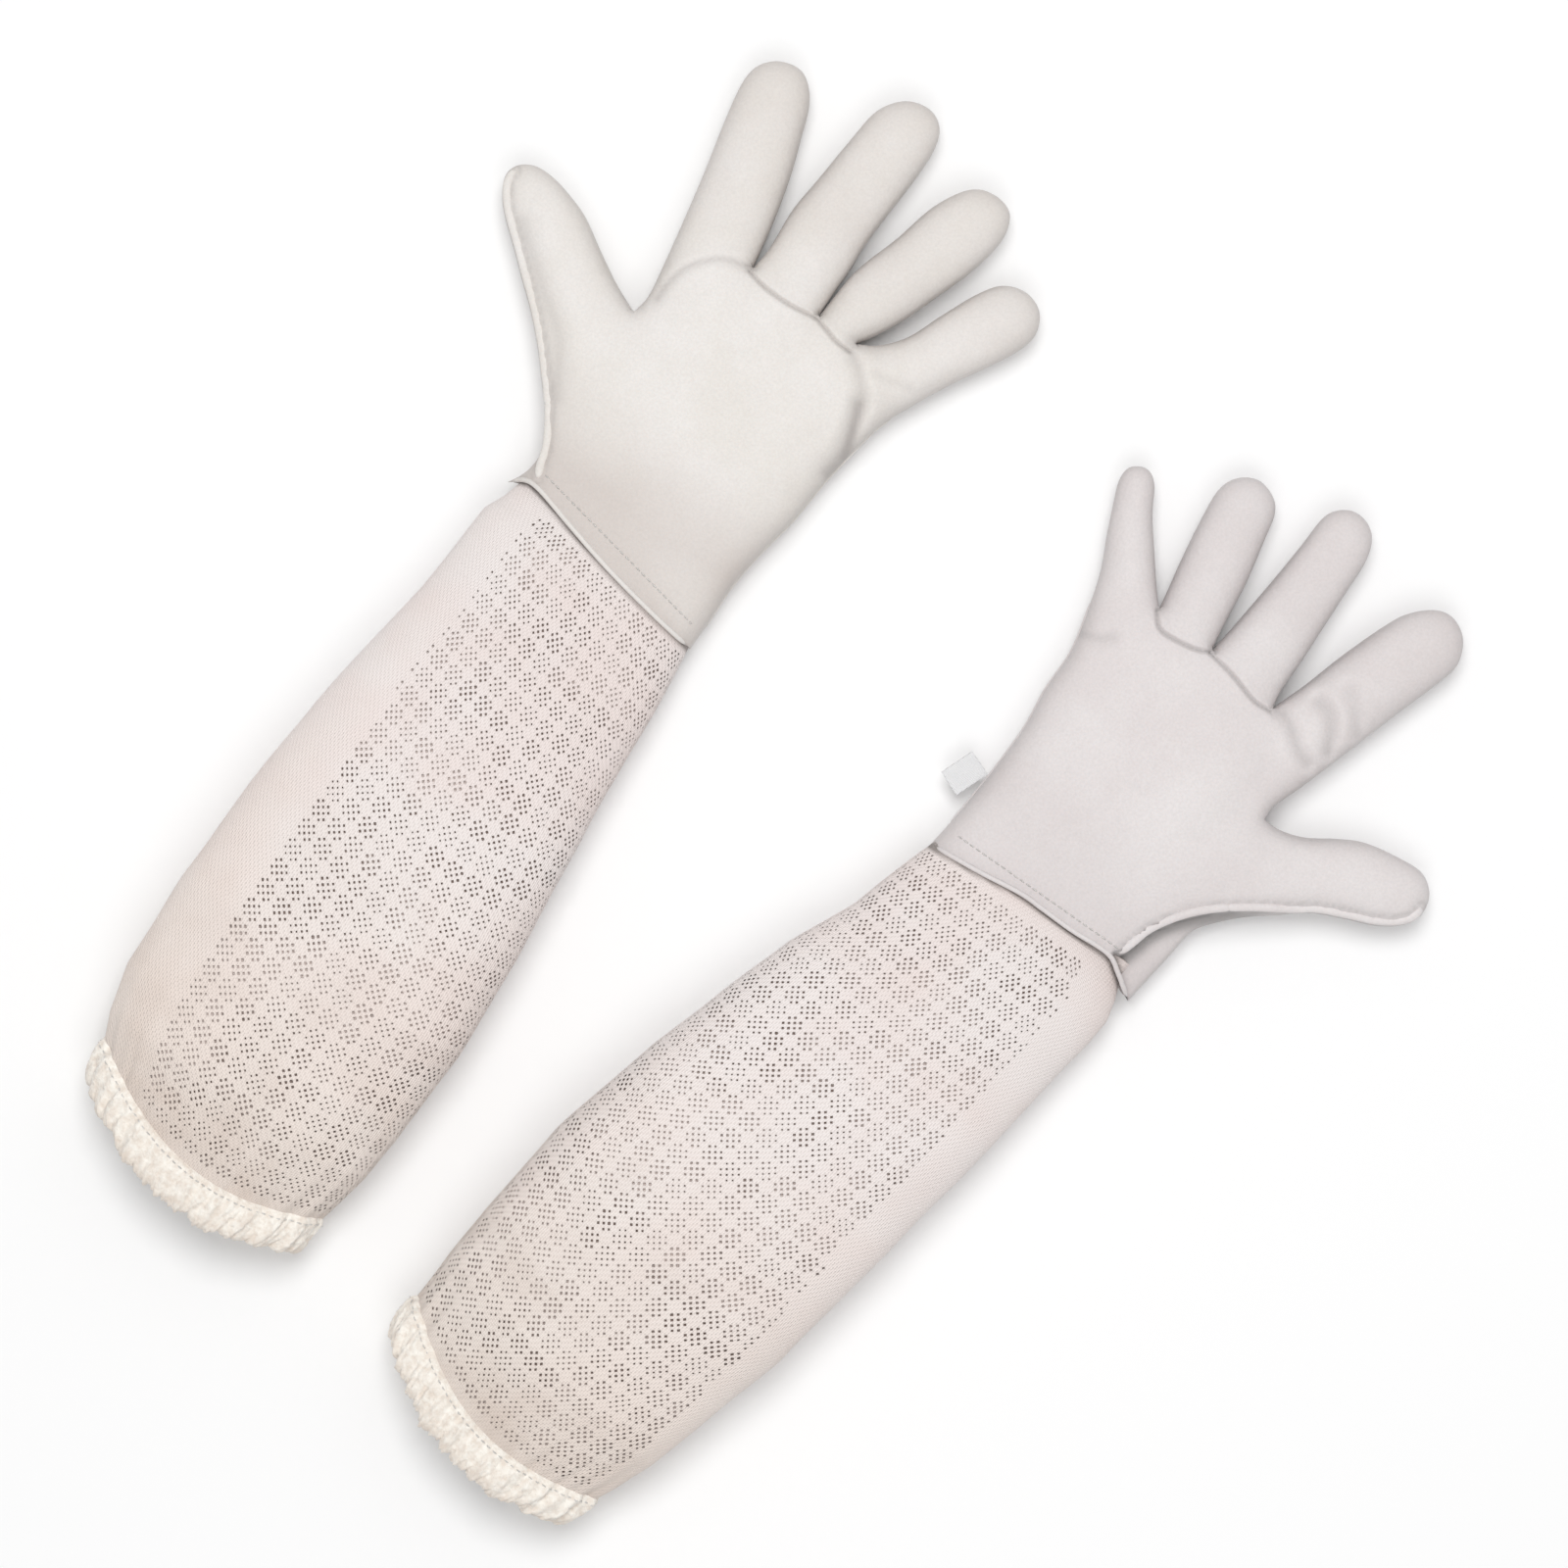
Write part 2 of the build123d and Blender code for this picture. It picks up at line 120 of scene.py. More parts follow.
RIGHT_SPANS = (
    ((-52.8, 1.5), (-52, 12), (-51.2, 24), (-50.2, 38), (-53.5, 46.5), (-60, 57), (-68, 66.6),
     (-76.6, 77), (-87, 85), (-98, 92.5), (-105.3, 100.5), (-107.6, 108.5), (-104, 116.5),
     (-95.7, 120.3), (-84, 117.4), (-71.4, 112), (-62.7, 105), (-54, 96.5), (-45.5, 91.5),
     (-37.6, 89.5)),
    ((-37.6, 89.5), (-36.6, 96), (-38.4, 108), (-41, 131), (-43.6, 157), (-45.9, 177), (-45.7, 187),
     (-40, 195.3), (-31.5, 198.3), (-24.3, 195.5), (-18, 187), (-15, 177), (-12, 157),
     (-10.3, 138), (-8, 122)),
    ((-8, 122), (-5.5, 129), (-2.6, 143), (0.8, 157), (5.2, 175), (8.6, 188.5), (13.7, 196.8), (21, 199.6),
     (28, 197.5), (32.6, 189.5), (30.6, 174), (28.4, 157), (26.7, 141), (25.6, 130), (25, 120.5)),
    ((25, 120.5), (28.5, 130), (35, 149), (42, 165), (46.6, 175), (52, 179.4), (60.5, 180), (67, 174.8),
     (69, 166), (65, 152), (59, 136), (54, 124), (51, 116.5)),
    ((51, 116.5), (57, 121), (69, 131), (79.6, 140), (88, 149), (94.5, 151), (99.5, 146.5), (98.7, 140),
     (94, 132.6), (86.6, 122), (78, 110.5), (70, 96), (62.5, 79.5), (59, 63), (53.6, 46), (50, 27),
     (48.4, 16), (46.7, 2.4), (45.5, -12.5)),
)
RIGHT_HEM = ((45.5, -12.5), (26, -6.6), (8, -0.4), (-2, 1.6), (-16, 4.2), (-32.5, 8.2), (-41, 6),
             (-47, 3.6), (-52.8, 1.5))

# (y, thumb side, little-finger side, height) of the sleeve
LEFT_SLEEVE = ((-310, -52, 46.5, 39), (-284, -55.5, 48.5, 41), (-268, -58, 53, 46), (-255, -63.5, 56, 51),
               (-236, -68, 58.5, 54), (-195, -69.3, 59.7, 56), (-151, -68, 57.5, 54), (-110, -64.4, 53.5, 50),
               (-79, -60, 50.5, 46), (-50, -55.4, 48.8, 42), (-22, -53.4, 46.2, 37), (-10, -52.6, 44.6, 33.8),
               (-2, -48.8, 44.0, 31.6), (6, -46.4, 43.8, 30.6), (20, -44.4, 43.2, 30))
RIGHT_SLEEVE = ((-318, -44, 50.5, 38), (-292, -48.5, 52.5, 41), (-276, -53, 55.5, 45), (-259, -56, 59, 51),
                (-236, -57.5, 62.5, 54), (-195, -60.7, 65.5, 56), (-145, -59.2, 63.5, 54),
                (-110, -58, 60, 50), (-79, -57, 56.5, 46), (-50, -55.2, 49.5, 42), (-22, -54, 46.8, 37),
                (-10, -52.6, 45.2, 33.6), (-2, -48.8, 44.6, 31.2), (6, -43.5, 44.4, 30), (20, -42, 45.4, 29))

# A crease is (points, depth, half-width, how much it shades); a dent is (centre, depth, radius).
LEFT_CREASES = (
    (((-17.8, 124.6), (-9, 122.6), (3, 122.3), (13.8, 124)), 1.7, 0.9, 1.0),
    (((14.6, 124), (20, 122.4), (26, 120.6), (32.4, 120.4)), 1.7, 0.9, 1.0),
    (((-41.8, 95), (-41.2, 105.4), (-37.5, 114.3), (-30.2, 122), (-22.6, 125.1), (-17.8, 125.6)),
     0.9, 1.9, 0.55),
    (((33, 121), (39.3, 116.6), (46.4, 108.5), (50.1, 98.2), (53.4, 86)), 1.5, 3.0, 0.45),
    (((47, 105), (50, 98), (52.4, 90), (52.6, 83), (51.4, 76)), 1.8, 4.0, 0.72),
    (((45, 118.6), (52, 120), (60, 121.5)), 0.5, 2.4, 0.2),
    (((-103, 91), (-81.8, 74.2), (-64.5, 60), (-53, 41)), 0.7, 4.0, 0.3),
)
RIGHT_CREASES = (
    (((25.4, 118.6), (31, 114.6), (41.5, 110.8), (46.6, 110.8), (51.4, 114.6)), 1.7, 0.9, 1.0),
    (((-7.8, 119.8), (0, 117.8), (12, 118.6), (25, 118.4)), 1.7, 0.9, 1.0),
    (((-12, 123.4), (-19, 121.6), (-26, 118), (-33, 116.4)), 1.9, 2.9, 0.46),
    (((-18, 136.5), (-24, 136), (-30, 132.2), (-35.6, 125.4)), 2.1, 2.9, 0.5),
    (((-23, 148), (-30, 145), (-38, 138.7)), 1.3, 3.0, 0.3),
    (((-19, 104), (-23, 94), (-24, 82), (-23, 66)), 0.7, 7.5, 0.05),
    (((68, 86.3), (63.5, 88), (59.4, 90.9), (56, 94.5)), 1.1, 3.0, 0.35),
)
LEFT_DENTS = (((-30, 60), 0.8, 22), ((5, 55), -0.6, 28), ((25, 85), 0.5, 20))
RIGHT_DENTS = (((10, 55), -0.6, 28), ((35, 80), 0.6, 18), ((-10, 85), 0.5, 20))

# blend_starts: how far ahead of each fold the leather is cut into the digit's piece.
# cuff_ends: the cuff's end at the sleeve's middle line, its tilt, and how far it bows out.
# plain: the turns, in degrees, between which the knit has no holes: from, from at the cuff, and to.
# welt: the raised seam's line by the wrist, and welt_joins: the y where it starts to follow the thumb.
# ledge: how far the leather outside the raised seam sinks, and how much painted shadow fills that hollow.
# wrist_tint: how much darker, pinker painted shade lies over the wrist.
# stitch_start: the x of the wrist stitches' end by the thumb.
LEFT = Glove("left", 1, {
    "spans": LEFT_SPANS, "hem": LEFT_HEM, "sleeve": np.array(LEFT_SLEEVE, float),
    "creases": LEFT_CREASES, "dents": LEFT_DENTS,
    "blend_starts": {"index": 6, "middle": 6, "ring": 8, "little": 6, "thumb": 8},
    "cuff_ends": (-288.5, -0.11, 16.0), "plain": (137, 134, 205), "cuff_seed": 31, "stitch_start": -39.5,
    "welt": ((-41, 11), (-43.2, 16.5), (-45.6, 24), (-51.4, 33.8)), "welt_joins": 41,
    "ledge": 0.0, "wrist_tint": 0.95})
RIGHT = Glove("right", -1, {
    "spans": RIGHT_SPANS, "hem": RIGHT_HEM, "sleeve": np.array(RIGHT_SLEEVE, float),
    "creases": RIGHT_CREASES, "dents": RIGHT_DENTS,
    "blend_starts": {"index": 6, "middle": 6, "ring": 6, "little": 6, "thumb": 8},
    "cuff_ends": (-299.0, 0.03, 14.5), "plain": (134, 158, 200), "cuff_seed": 32, "stitch_start": -34.5,
    "welt": ((-35.6, 11.5), (-36.2, 18), (-37.2, 27.5), (-41.9, 39.9), (-48.6, 50.6), (-58.5, 61.8)),
    "welt_joins": 72, "ledge": 0.62, "wrist_tint": 0.5})
FINGER_SPAN, THUMB_SPAN = 30.0, 74.0  # how far to the side of its fold's middle a digit can reach
WRIST_BLEND = 14.0  # how far past the wrist fold the digits' pieces can begin


# ---------------------------------------------------------------- small geometry helpers

def smooth_path(points, step):
    """A Catmull-Rom curve through the points, resampled at an even step."""
    points = np.array(points, float)
    ends = np.vstack((2 * points[0] - points[1], points, 2 * points[-1] - points[-2]))
    fine = []
    for i in range(1, len(ends) - 2):
        a, b, c, d = ends[i - 1], ends[i], ends[i + 1], ends[i + 2]
        t = np.linspace(0, 1, 24, endpoint=False)[:, None]
        fine.append(0.5 * (2 * b + (c - a) * t + (2 * a - 5 * b + 4 * c - d) * t**2
                           + (3 * b - a - 3 * c + d) * t**3))
    fine = np.vstack(fine + [points[-1:]])
    run = np.concatenate(([0], np.cumsum(np.linalg.norm(np.diff(fine, axis=0), axis=1))))
    count = max(2, int(round(run[-1] / step)) + 1)
    at = np.linspace(0, run[-1], count)
    return np.column_stack([np.interp(at, run, fine[:, k]) for k in range(fine.shape[1])])


def headings(path):
    """Unit directions along a path."""
    ahead = np.gradient(path, axis=0)
    return ahead / np.linalg.norm(ahead, axis=1)[:, None]


def right_of(ahead):
    """Flat directions turned a quarter turn clockwise."""
    return np.column_stack((ahead[:, 1], -ahead[:, 0]))


def bell(distance, width):
    """1 at no distance, falling smoothly to nothing past the width."""
    return np.exp(-(distance / width) ** 2)


def nearest(points, line):
    """Distance from each point to the nearest point of a densely sampled line, and which one it is."""
    gap, which = np.empty(len(points)), np.empty(len(points), int)
    for start in range(0, len(points), 2000):
        block = points[start:start + 2000]
        square = ((block[:, None, :] - line[None, :, :]) ** 2).sum(2)
        which[start:start + 2000] = square.argmin(1)
        gap[start:start + 2000] = np.sqrt(square.min(1))
    return gap, which


def inside(points, polygon):
    """Which points lie inside a closed polygon."""
    result = np.zeros(len(points), bool)
    x, y = points[:, 0], points[:, 1]
    last = polygon[-1]
    for corner in polygon:
        crosses = (corner[1] > y) != (last[1] > y)
        reach = (last[0] - corner[0]) * (y - corner[1]) / (last[1] - corner[1] + 1e-12) + corner[0]
        result ^= crosses & (x < reach)
        last = corner
    return result


def ripple(points, seed, wavelength, waves=9):
    """A smooth random field over flat points, about -1 to 1."""
    random = np.random.default_rng(seed)
    field = np.zeros(len(points))
    for _ in range(waves):
        angle, phase = random.uniform(0, 2 * pi, 2)
        length = wavelength * random.uniform(0.7, 1.5)
        field += np.sin(2 * pi / length * (points[:, 0] * cos(angle) + points[:, 1] * sin(angle)) + phase)
    return field / waves**0.5 / 1.4


def make_object(name, vertices_mm, faces, material, smooth=True):
    """A mesh object from millimetres in the row frame."""
    mesh = bpy.data.meshes.new(name)
    mesh.from_pydata((np.asarray(vertices_mm) * MM).tolist(), [], [tuple(f) for f in faces])
    mesh.update()
    if smooth:
        mesh.shade_smooth()
    obj = bpy.data.objects.new(name, mesh)
    bpy.context.scene.collection.objects.link(obj)
    obj.data.materials.append(material)
    return obj


def point_value(obj, name, values):
    """Store one number per vertex for the materials."""
    layer = obj.data.attributes.new(name, "FLOAT", "POINT")
    layer.data.foreach_set("value", np.asarray(values, np.float32))


def finish_piece(obj, body=None, nodes=()):
    """Hide the CAD nodes that a piece stands for, and attach it to the body that it rides on."""
    if body:
        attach(obj, body)
    if nodes:
        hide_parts(*nodes)
    return obj


def blend_at_wrist(obj):
    """Bake a piece's placement into its mesh."""
    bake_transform(obj)


def blend_at_digit(obj):
    """Bake a piece's placement into its mesh."""
    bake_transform(obj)


# ---------------------------------------------------------------- materials

class Surface:
    """A node material in the making: its shader, and short ways to add to it."""

    def __init__(self, name):
        self.material = bpy.data.materials.new(name)
        self.material.use_nodes = True
        self.nodes, self.links = self.material.node_tree.nodes, self.material.node_tree.links
        self.shader = self.nodes["Principled BSDF"]
        self.where = self.nodes.new("ShaderNodeTexCoord").outputs["Object"]

    def node(self, kind, numbers, sources=None):
        """A node with these numbers in its sockets, and these outputs linked to the others."""
        node = self.nodes.new("ShaderNode" + kind)
        for socket, number in numbers.items():
            node.inputs[socket].default_value = number
        for socket, source in (sources or {"Vector": self.where}).items():
            self.links.new(source, node.inputs[socket])
        return node

    def noise(self, scale, detail=4.0, roughness=0.55):
        numbers = {"Scale": scale, "Detail": detail, "Roughness": roughness}
        return self.node("TexNoise", numbers).outputs["Fac"]

    def wave(self, vector, direction, scale, distortion, detail, detail_scale=1.0):
        node = self.node("TexWave", {"Scale": scale, "Distortion": distortion, "Detail": detail,
                                     "Detail Scale": detail_scale}, {"Vector": vector})
        node.bands_direction = direction
        return node.outputs["Fac"]

    def attribute(self, name):
        node = self.nodes.new("ShaderNodeAttribute")
        node.attribute_name = name
        return node.outputs["Fac"]

    def spread(self, value, low, high, to_low=0.0, to_high=1.0):
        numbers = {"From Min": low, "From Max": high, "To Min": to_low, "To Max": to_high}
        return self.node("MapRange", numbers, {"Value": value}).outputs["Result"]

    def mix(self, factor, first, second):
        """Two colours, each either numbers or another node's output, mixed by a factor."""
        node = self.nodes.new("ShaderNodeMix")
        node.data_type = "RGBA"
        self.links.new(factor, node.inputs["Factor"])
        for socket, colour in ((node.inputs[6], first), (node.inputs[7], second)):
            if isinstance(colour, tuple):
                socket.default_value = (*colour, 1)
            else:
                self.links.new(colour, socket)
        return node.outputs[2]

    def bump(self, layers):
        """Stack bumps: each is (height, strength, distance in metres)."""
        below = {}
        for height, strength, distance in layers:
            numbers = {"Strength": strength, "Distance": distance}
            node = self.node("Bump", numbers, {"Height": height, **below})
            below = {"Normal": node.outputs["Normal"]}
        self.links.new(below["Normal"], self.shader.inputs["Normal"])

    def finished(self, colour, constants):
        """The material, with its colour linked and its shader's constants set."""
        self.links.new(colour, self.shader.inputs["Base Color"])
        for socket, number in constants.items():
            self.shader.inputs[socket].default_value = number
        return self.material


def leather(name, light, warm, pink_shade_colour, grey):
    """Soft matte goatskin: cloudy colour, pores, fine creases, a darker, pinker painted shade toward the
    wrist, the fingertips and the edges, and grey painted shade in the creases and seams, beside the raised
    seam and along the edges.
    """
    skin = Surface(name)
    clouds = skin.spread(skin.noise(22, 3), 0.38, 0.62)
    colour = skin.mix(clouds, light, warm)
    # painted shade: a darker, pinker colour toward the wrist, the fingertips and the edges
    colour = skin.mix(skin.attribute("pink_shade"), colour, pink_shade_colour)
    colour = skin.mix(skin.spread(skin.noise(900, 3, 0.6), 0.35, 0.75, 0.0, 0.16), colour, grey)
    # painted shade: grey in the creases, seams and hollows and along the rounded edges
    colour = skin.mix(skin.attribute("shade"), colour, grey)
    skin.links.new(skin.spread(clouds, 0, 1, 0.58, 0.68), skin.shader.inputs["Roughness"])
    pores = skin.node("TexVoronoi", {"Scale": 850}).outputs["Distance"]
    skin.bump(((skin.noise(190, 6, 0.62), 0.35, 0.0006), (pores, 0.22, 0.00025)))
    return skin.finished(colour, {"Specular IOR Level": 0.35, "Sheen Weight": 0.12, "Sheen Roughness": 0.5,
                                  "Subsurface Weight": 0.06, "Subsurface Radius": (0.0016, 0.0012, 0.001)})


def cloth(name, light, dark, weave_scale, strength=0.5, sheen=0.25, patchy=(45, 0.35, 0.65)):
    """Plain woven or knitted cloth: crossing yarns from waves, with fuzzy variation. patchy is the scale of
    the lighter and darker patches and the noise values between which one turns into the other."""
    weave = Surface(name)
    across, along = (weave.wave(weave.where, way, weave_scale, 1.2, 2) for way in ("X", "Y"))
    fuzz = weave.noise(1400, 4, 0.7)
    colour = weave.mix(weave.spread(weave.noise(patchy[0], 3), patchy[1], patchy[2]), light, dark)
    colour = weave.mix(weave.spread(fuzz, 0.3, 0.8, 0.0, 0.3), colour, dark)
    weave.bump(((across, strength, 0.0003), (along, strength, 0.0003), (fuzz, 0.4, 0.0003)))
    return weave.finished(colour, {"Roughness": 0.9, "Sheen Weight": sheen, "Specular IOR Level": 0.2})


def fleece(name, light, dark):
    """The cuff's brushed cotton: tufts a couple of millimetres across, with painted shade in the gaps between
    them.
    """
    pile = Surface(name)
    tufts, fibres = pile.noise(330, 5, 0.65), pile.noise(1500, 3, 0.7)
    # painted shade: the darker colour in the gaps between the tufts
    colour = pile.mix(pile.spread(tufts, 0.62, 0.36, 0.0, 0.75), light, dark)
    colour = pile.mix(pile.attribute("shade"), colour, dark)
    pile.bump(((tufts, 0.8, 0.0012), (fibres, 0.4, 0.0003)))
    return pile.finished(colour, {"Roughness": 0.95, "Sheen Weight": 0.5, "Specular IOR Level": 0.15})


def knit(name):
    """The sleeve's outer knit: columns of loops on its own grid, pinkish, and creamier to the cuff."""
    loops = Surface(name)
    grid = loops.nodes.new("ShaderNodeUVMap")
    grid.uv_map = "grid"
    ribs, rows, twill = (loops.wave(grid.outputs["UV"], way, scale, 0.8, 1.5, 2.0)
                         for way, scale in (("X", 0.5), ("Y", 0.5), ("DIAGONAL", 0.35)))
    pink, white = (0.885, 0.785, 0.755), (0.91, 0.85, 0.83)
    cream, tan = (0.88, 0.78, 0.69), (0.74, 0.62, 0.52)
    shadow, deep = (0.55, 0.46, 0.42), (0.20, 0.17, 0.155)
    colour = loops.mix(loops.spread(loops.noise(14, 3), 0.4, 0.62), pink, white)
    toward_cuff = loops.mix(loops.spread(loops.noise(30, 3), 0.45, 0.7), cream, tan)
    colour = loops.mix(loops.attribute("cream"), colour, toward_cuff)
    colour = loops.mix(loops.spread(ribs, 0.0, 0.6, 0.26, 0.0), colour, shadow)
    colour = loops.mix(loops.spread(twill, 0.0, 0.6, 0.14, 0.0), colour, shadow)
    colour = loops.mix(loops.attribute("shade"), colour, deep)
    loops.bump(((ribs, 0.5, 0.0004), (rows, 0.3, 0.0003), (twill, 0.35, 0.0003),
                (loops.noise(1500, 4, 0.7), 0.3, 0.0002)))
    return loops.finished(colour, {"Roughness": 0.92, "Sheen Weight": 0.25, "Specular IOR Level": 0.2})


# for each glove: light and warm leather, then its darker, pinker painted shade, then the grey of the fine
# speckle and of the painted shade
LEATHER = {
    "left": leather("goatskin_left", (0.80, 0.77, 0.745), (0.765, 0.73, 0.69), (0.635, 0.58, 0.545),
                    (0.38, 0.35, 0.335)),
    "right": leather("goatskin_right", (0.75, 0.71, 0.705), (0.72, 0.67, 0.665), (0.63, 0.575, 0.57),
                     (0.33, 0.315, 0.31)),
}
KNIT = knit("ventilated_knit")
SPACER = cloth("spacer_yarns", (0.92, 0.80, 0.75), (0.36, 0.27, 0.235), 260, 0.6, 0.0, (26, 0.43, 0.57))
LINING = cloth("lining_knit", (0.70, 0.65, 0.62), (0.58, 0.53, 0.50), 220)
CUFF = fleece("cuff_fleece", (0.97, 0.93, 0.86), (0.76, 0.66, 0.57))
ELASTIC = cloth("elastic_rubber", (0.80, 0.78, 0.74), (0.70, 0.67, 0.62), 300)
THREAD = cloth("sewing_thread", (0.88, 0.86, 0.83), (0.78, 0.76, 0.73), 900, 0.6)
TAPE = cloth("seam_tape", (0.80, 0.76, 0.72), (0.70, 0.66, 0.62), 300)
LABEL = cloth("label_satin", (0.84, 0.84, 0.84), (0.76, 0.76, 0.77), 420, 0.4, 0.1)




# ---------------------------------------------------------------- the leather hand

SEAM_ROWS = (-1.9, -1.15, -0.5, 0, 0.5, 1.15, 1.9)  # rows of closer points beside a sharp seam
SMALL_PATCH = 100  # fewer triangles than this past a fold aren't a digit
TUBE_TAPER = (0.35, 0.75, 0.95)  # how thick a tube's last rings are
HEM_SAG = 0.1  # how far the back's free hem hangs below the back


def leather_edge(glove):
    """The closed edge of the leather as seen from above, where its hem stretch begins, and the hem."""
    sides = np.vstack([smooth_path(span, SPAN_STEP)[:-1] for span in glove.spans])
    hem = smooth_path(glove.hem, SPAN_STEP)
    return np.vstack((sides, hem[:-1])), len(sides), hem


def crease_points(glove):
    """Closer points beside the sharp seams, so that they show as lines."""
    found = []
    for line, _, width, _ in glove.creases:
        if width <= SHARP_WIDTH:
            path = smooth_path(line, 0.9)
            aside = right_of(headings(path))
            found += [path + aside * offset for offset in SEAM_ROWS]
    return np.vstack(found)


def clear_of(line, points, least):
    """The points that are further than this from a line."""
    return points[nearest(points, line)[0] > least]


def flat_leather(glove):
    """Points and triangles that fill the leather's outline."""
    edge, hem_start, hem = leather_edge(glove)
    turn = np.roll(edge, -1, axis=0) - np.roll(edge, 1, axis=0)
    turn /= np.linalg.norm(turn, axis=1)[:, None]
    inward = right_of(turn)
    if not inside(edge[200:201] + inward[200:201] * 0.5, edge)[0]:
        inward = -inward
    rings = [edge]
    for depth in EDGE_RINGS:
        ring = edge + inward * depth
        rings.append(clear_of(edge, ring[inside(ring, edge)], 0.8 * depth))
    low, high = edge.min(0), edge.max(0)
    rows = []
    for row, y in enumerate(np.arange(low[1], high[1], GRID_STEP * 0.866)):
        x = np.arange(low[0], high[0], GRID_STEP) + (row % 2) * GRID_STEP / 2
        rows.append(np.column_stack((x, np.full(len(x), y))))
    grid, seams = np.vstack(rows), crease_points(glove)
    grid = clear_of(edge, grid[inside(grid, edge)], EDGE_RINGS[-1] + 0.75)
    seams = clear_of(edge, seams[inside(seams, edge)], EDGE_RINGS[-1] + 0.3)
    points = np.vstack(rings + [clear_of(seams, grid, 0.95), seams])
    outline = list(range(len(edge)))
    vertices, _, faces, *_ = delaunay_2d_cdt([Vector(p) for p in points], [], [outline], 1, 1e-5)
    return np.array([tuple(v) for v in vertices]), np.array(faces), edge, hem_start, hem


def inflate(points, triangles, pinned):
    """The height of a soap film blown up over the triangles and held down at the pinned points."""
    corner = points[triangles]
    edges, weights = [], []
    for k in range(3):
        a, b, c = triangles[:, k], triangles[:, (k + 1) % 3], corner[:, (k + 2) % 3]
        first, second = points[a] - c, points[b] - c
        cross = np.abs(first[:, 0] * second[:, 1] - first[:, 1] * second[:, 0])
        weights.append((first * second).sum(1) / np.maximum(cross, 1e-6) / 2)
        edges.append(np.column_stack((a, b)))
    edges, weights = np.vstack(edges), np.clip(np.concatenate(weights), 1e-4, 50)
    span_a, span_b = corner[:, 1] - corner[:, 0], corner[:, 2] - corner[:, 0]
    area = np.abs(span_a[:, 0] * span_b[:, 1] - span_a[:, 1] * span_b[:, 0]) / 2
    count = len(points)
    load = np.bincount(triangles.ravel(), np.repeat(area / 3, 3), count)
    diagonal = np.bincount(edges.ravel(), np.repeat(weights, 2), count)
    free = ~pinned

    def apply(field):
        difference = weights * (field[edges[:, 0]] - field[edges[:, 1]])
        given = np.bincount(edges[:, 0], difference, count)
        taken = np.bincount(edges[:, 1], difference, count)
        return (given - taken) * free

    height = np.zeros(count)
    rest = load * free
    guess = rest / diagonal
    direction, strength = guess.copy(), rest @ guess
    for _ in range(1500):
        pushed = apply(direction)
        step = strength / (direction @ pushed)
        height += step * direction
        rest = rest - step * pushed
        guess = rest / diagonal * free
        after = rest @ guess
        if after < 1e-10 * (load @ load):
            break
        direction = guess + after / strength * direction
        strength = after
    return np.maximum(height, 0)


def welt_route(glove):
    """The line of the raised seam, from the wrist to just round the thumb's tip."""
    thumb = smooth_path(glove.spans[0], 1.0)
    tip = int(np.argmin(thumb[:, 0]))
    stretch = thumb[:tip + 4]
    path = stretch + right_of(headings(stretch)) * WELT_INSET
    path = path[stretch[:, 1] > glove.welt_joins]
    return smooth_path(np.vstack((glove.welt, path[::6], path[-1:])), 1.2)


def beside_welt(glove, points):
    """How far points are from the welt's line: above zero towards the palm, below zero outside it."""
    route = welt_route(glove)
    ahead = np.gradient(route, axis=0)
    gap, which = nearest(points, route)
    apart = points - route[which]
    turned = ahead[which, 0] * apart[:, 1] - ahead[which, 1] * apart[:, 0]
    return np.where(turned < 0, gap, -gap)


def palm_height(film):
    """How high the palm side stands over a film of this height."""
    puff = np.sqrt(film)
    return SEAM_HEIGHT + PALM_RISE * puff / (puff + PALM_EASE)


def back_height(film):
    """How high the back lies under a film of this height."""
    return SEAM_HEIGHT - BACK_DROP * (1 - np.exp(-BACK_EASE * np.sqrt(film) / BACK_DROP))


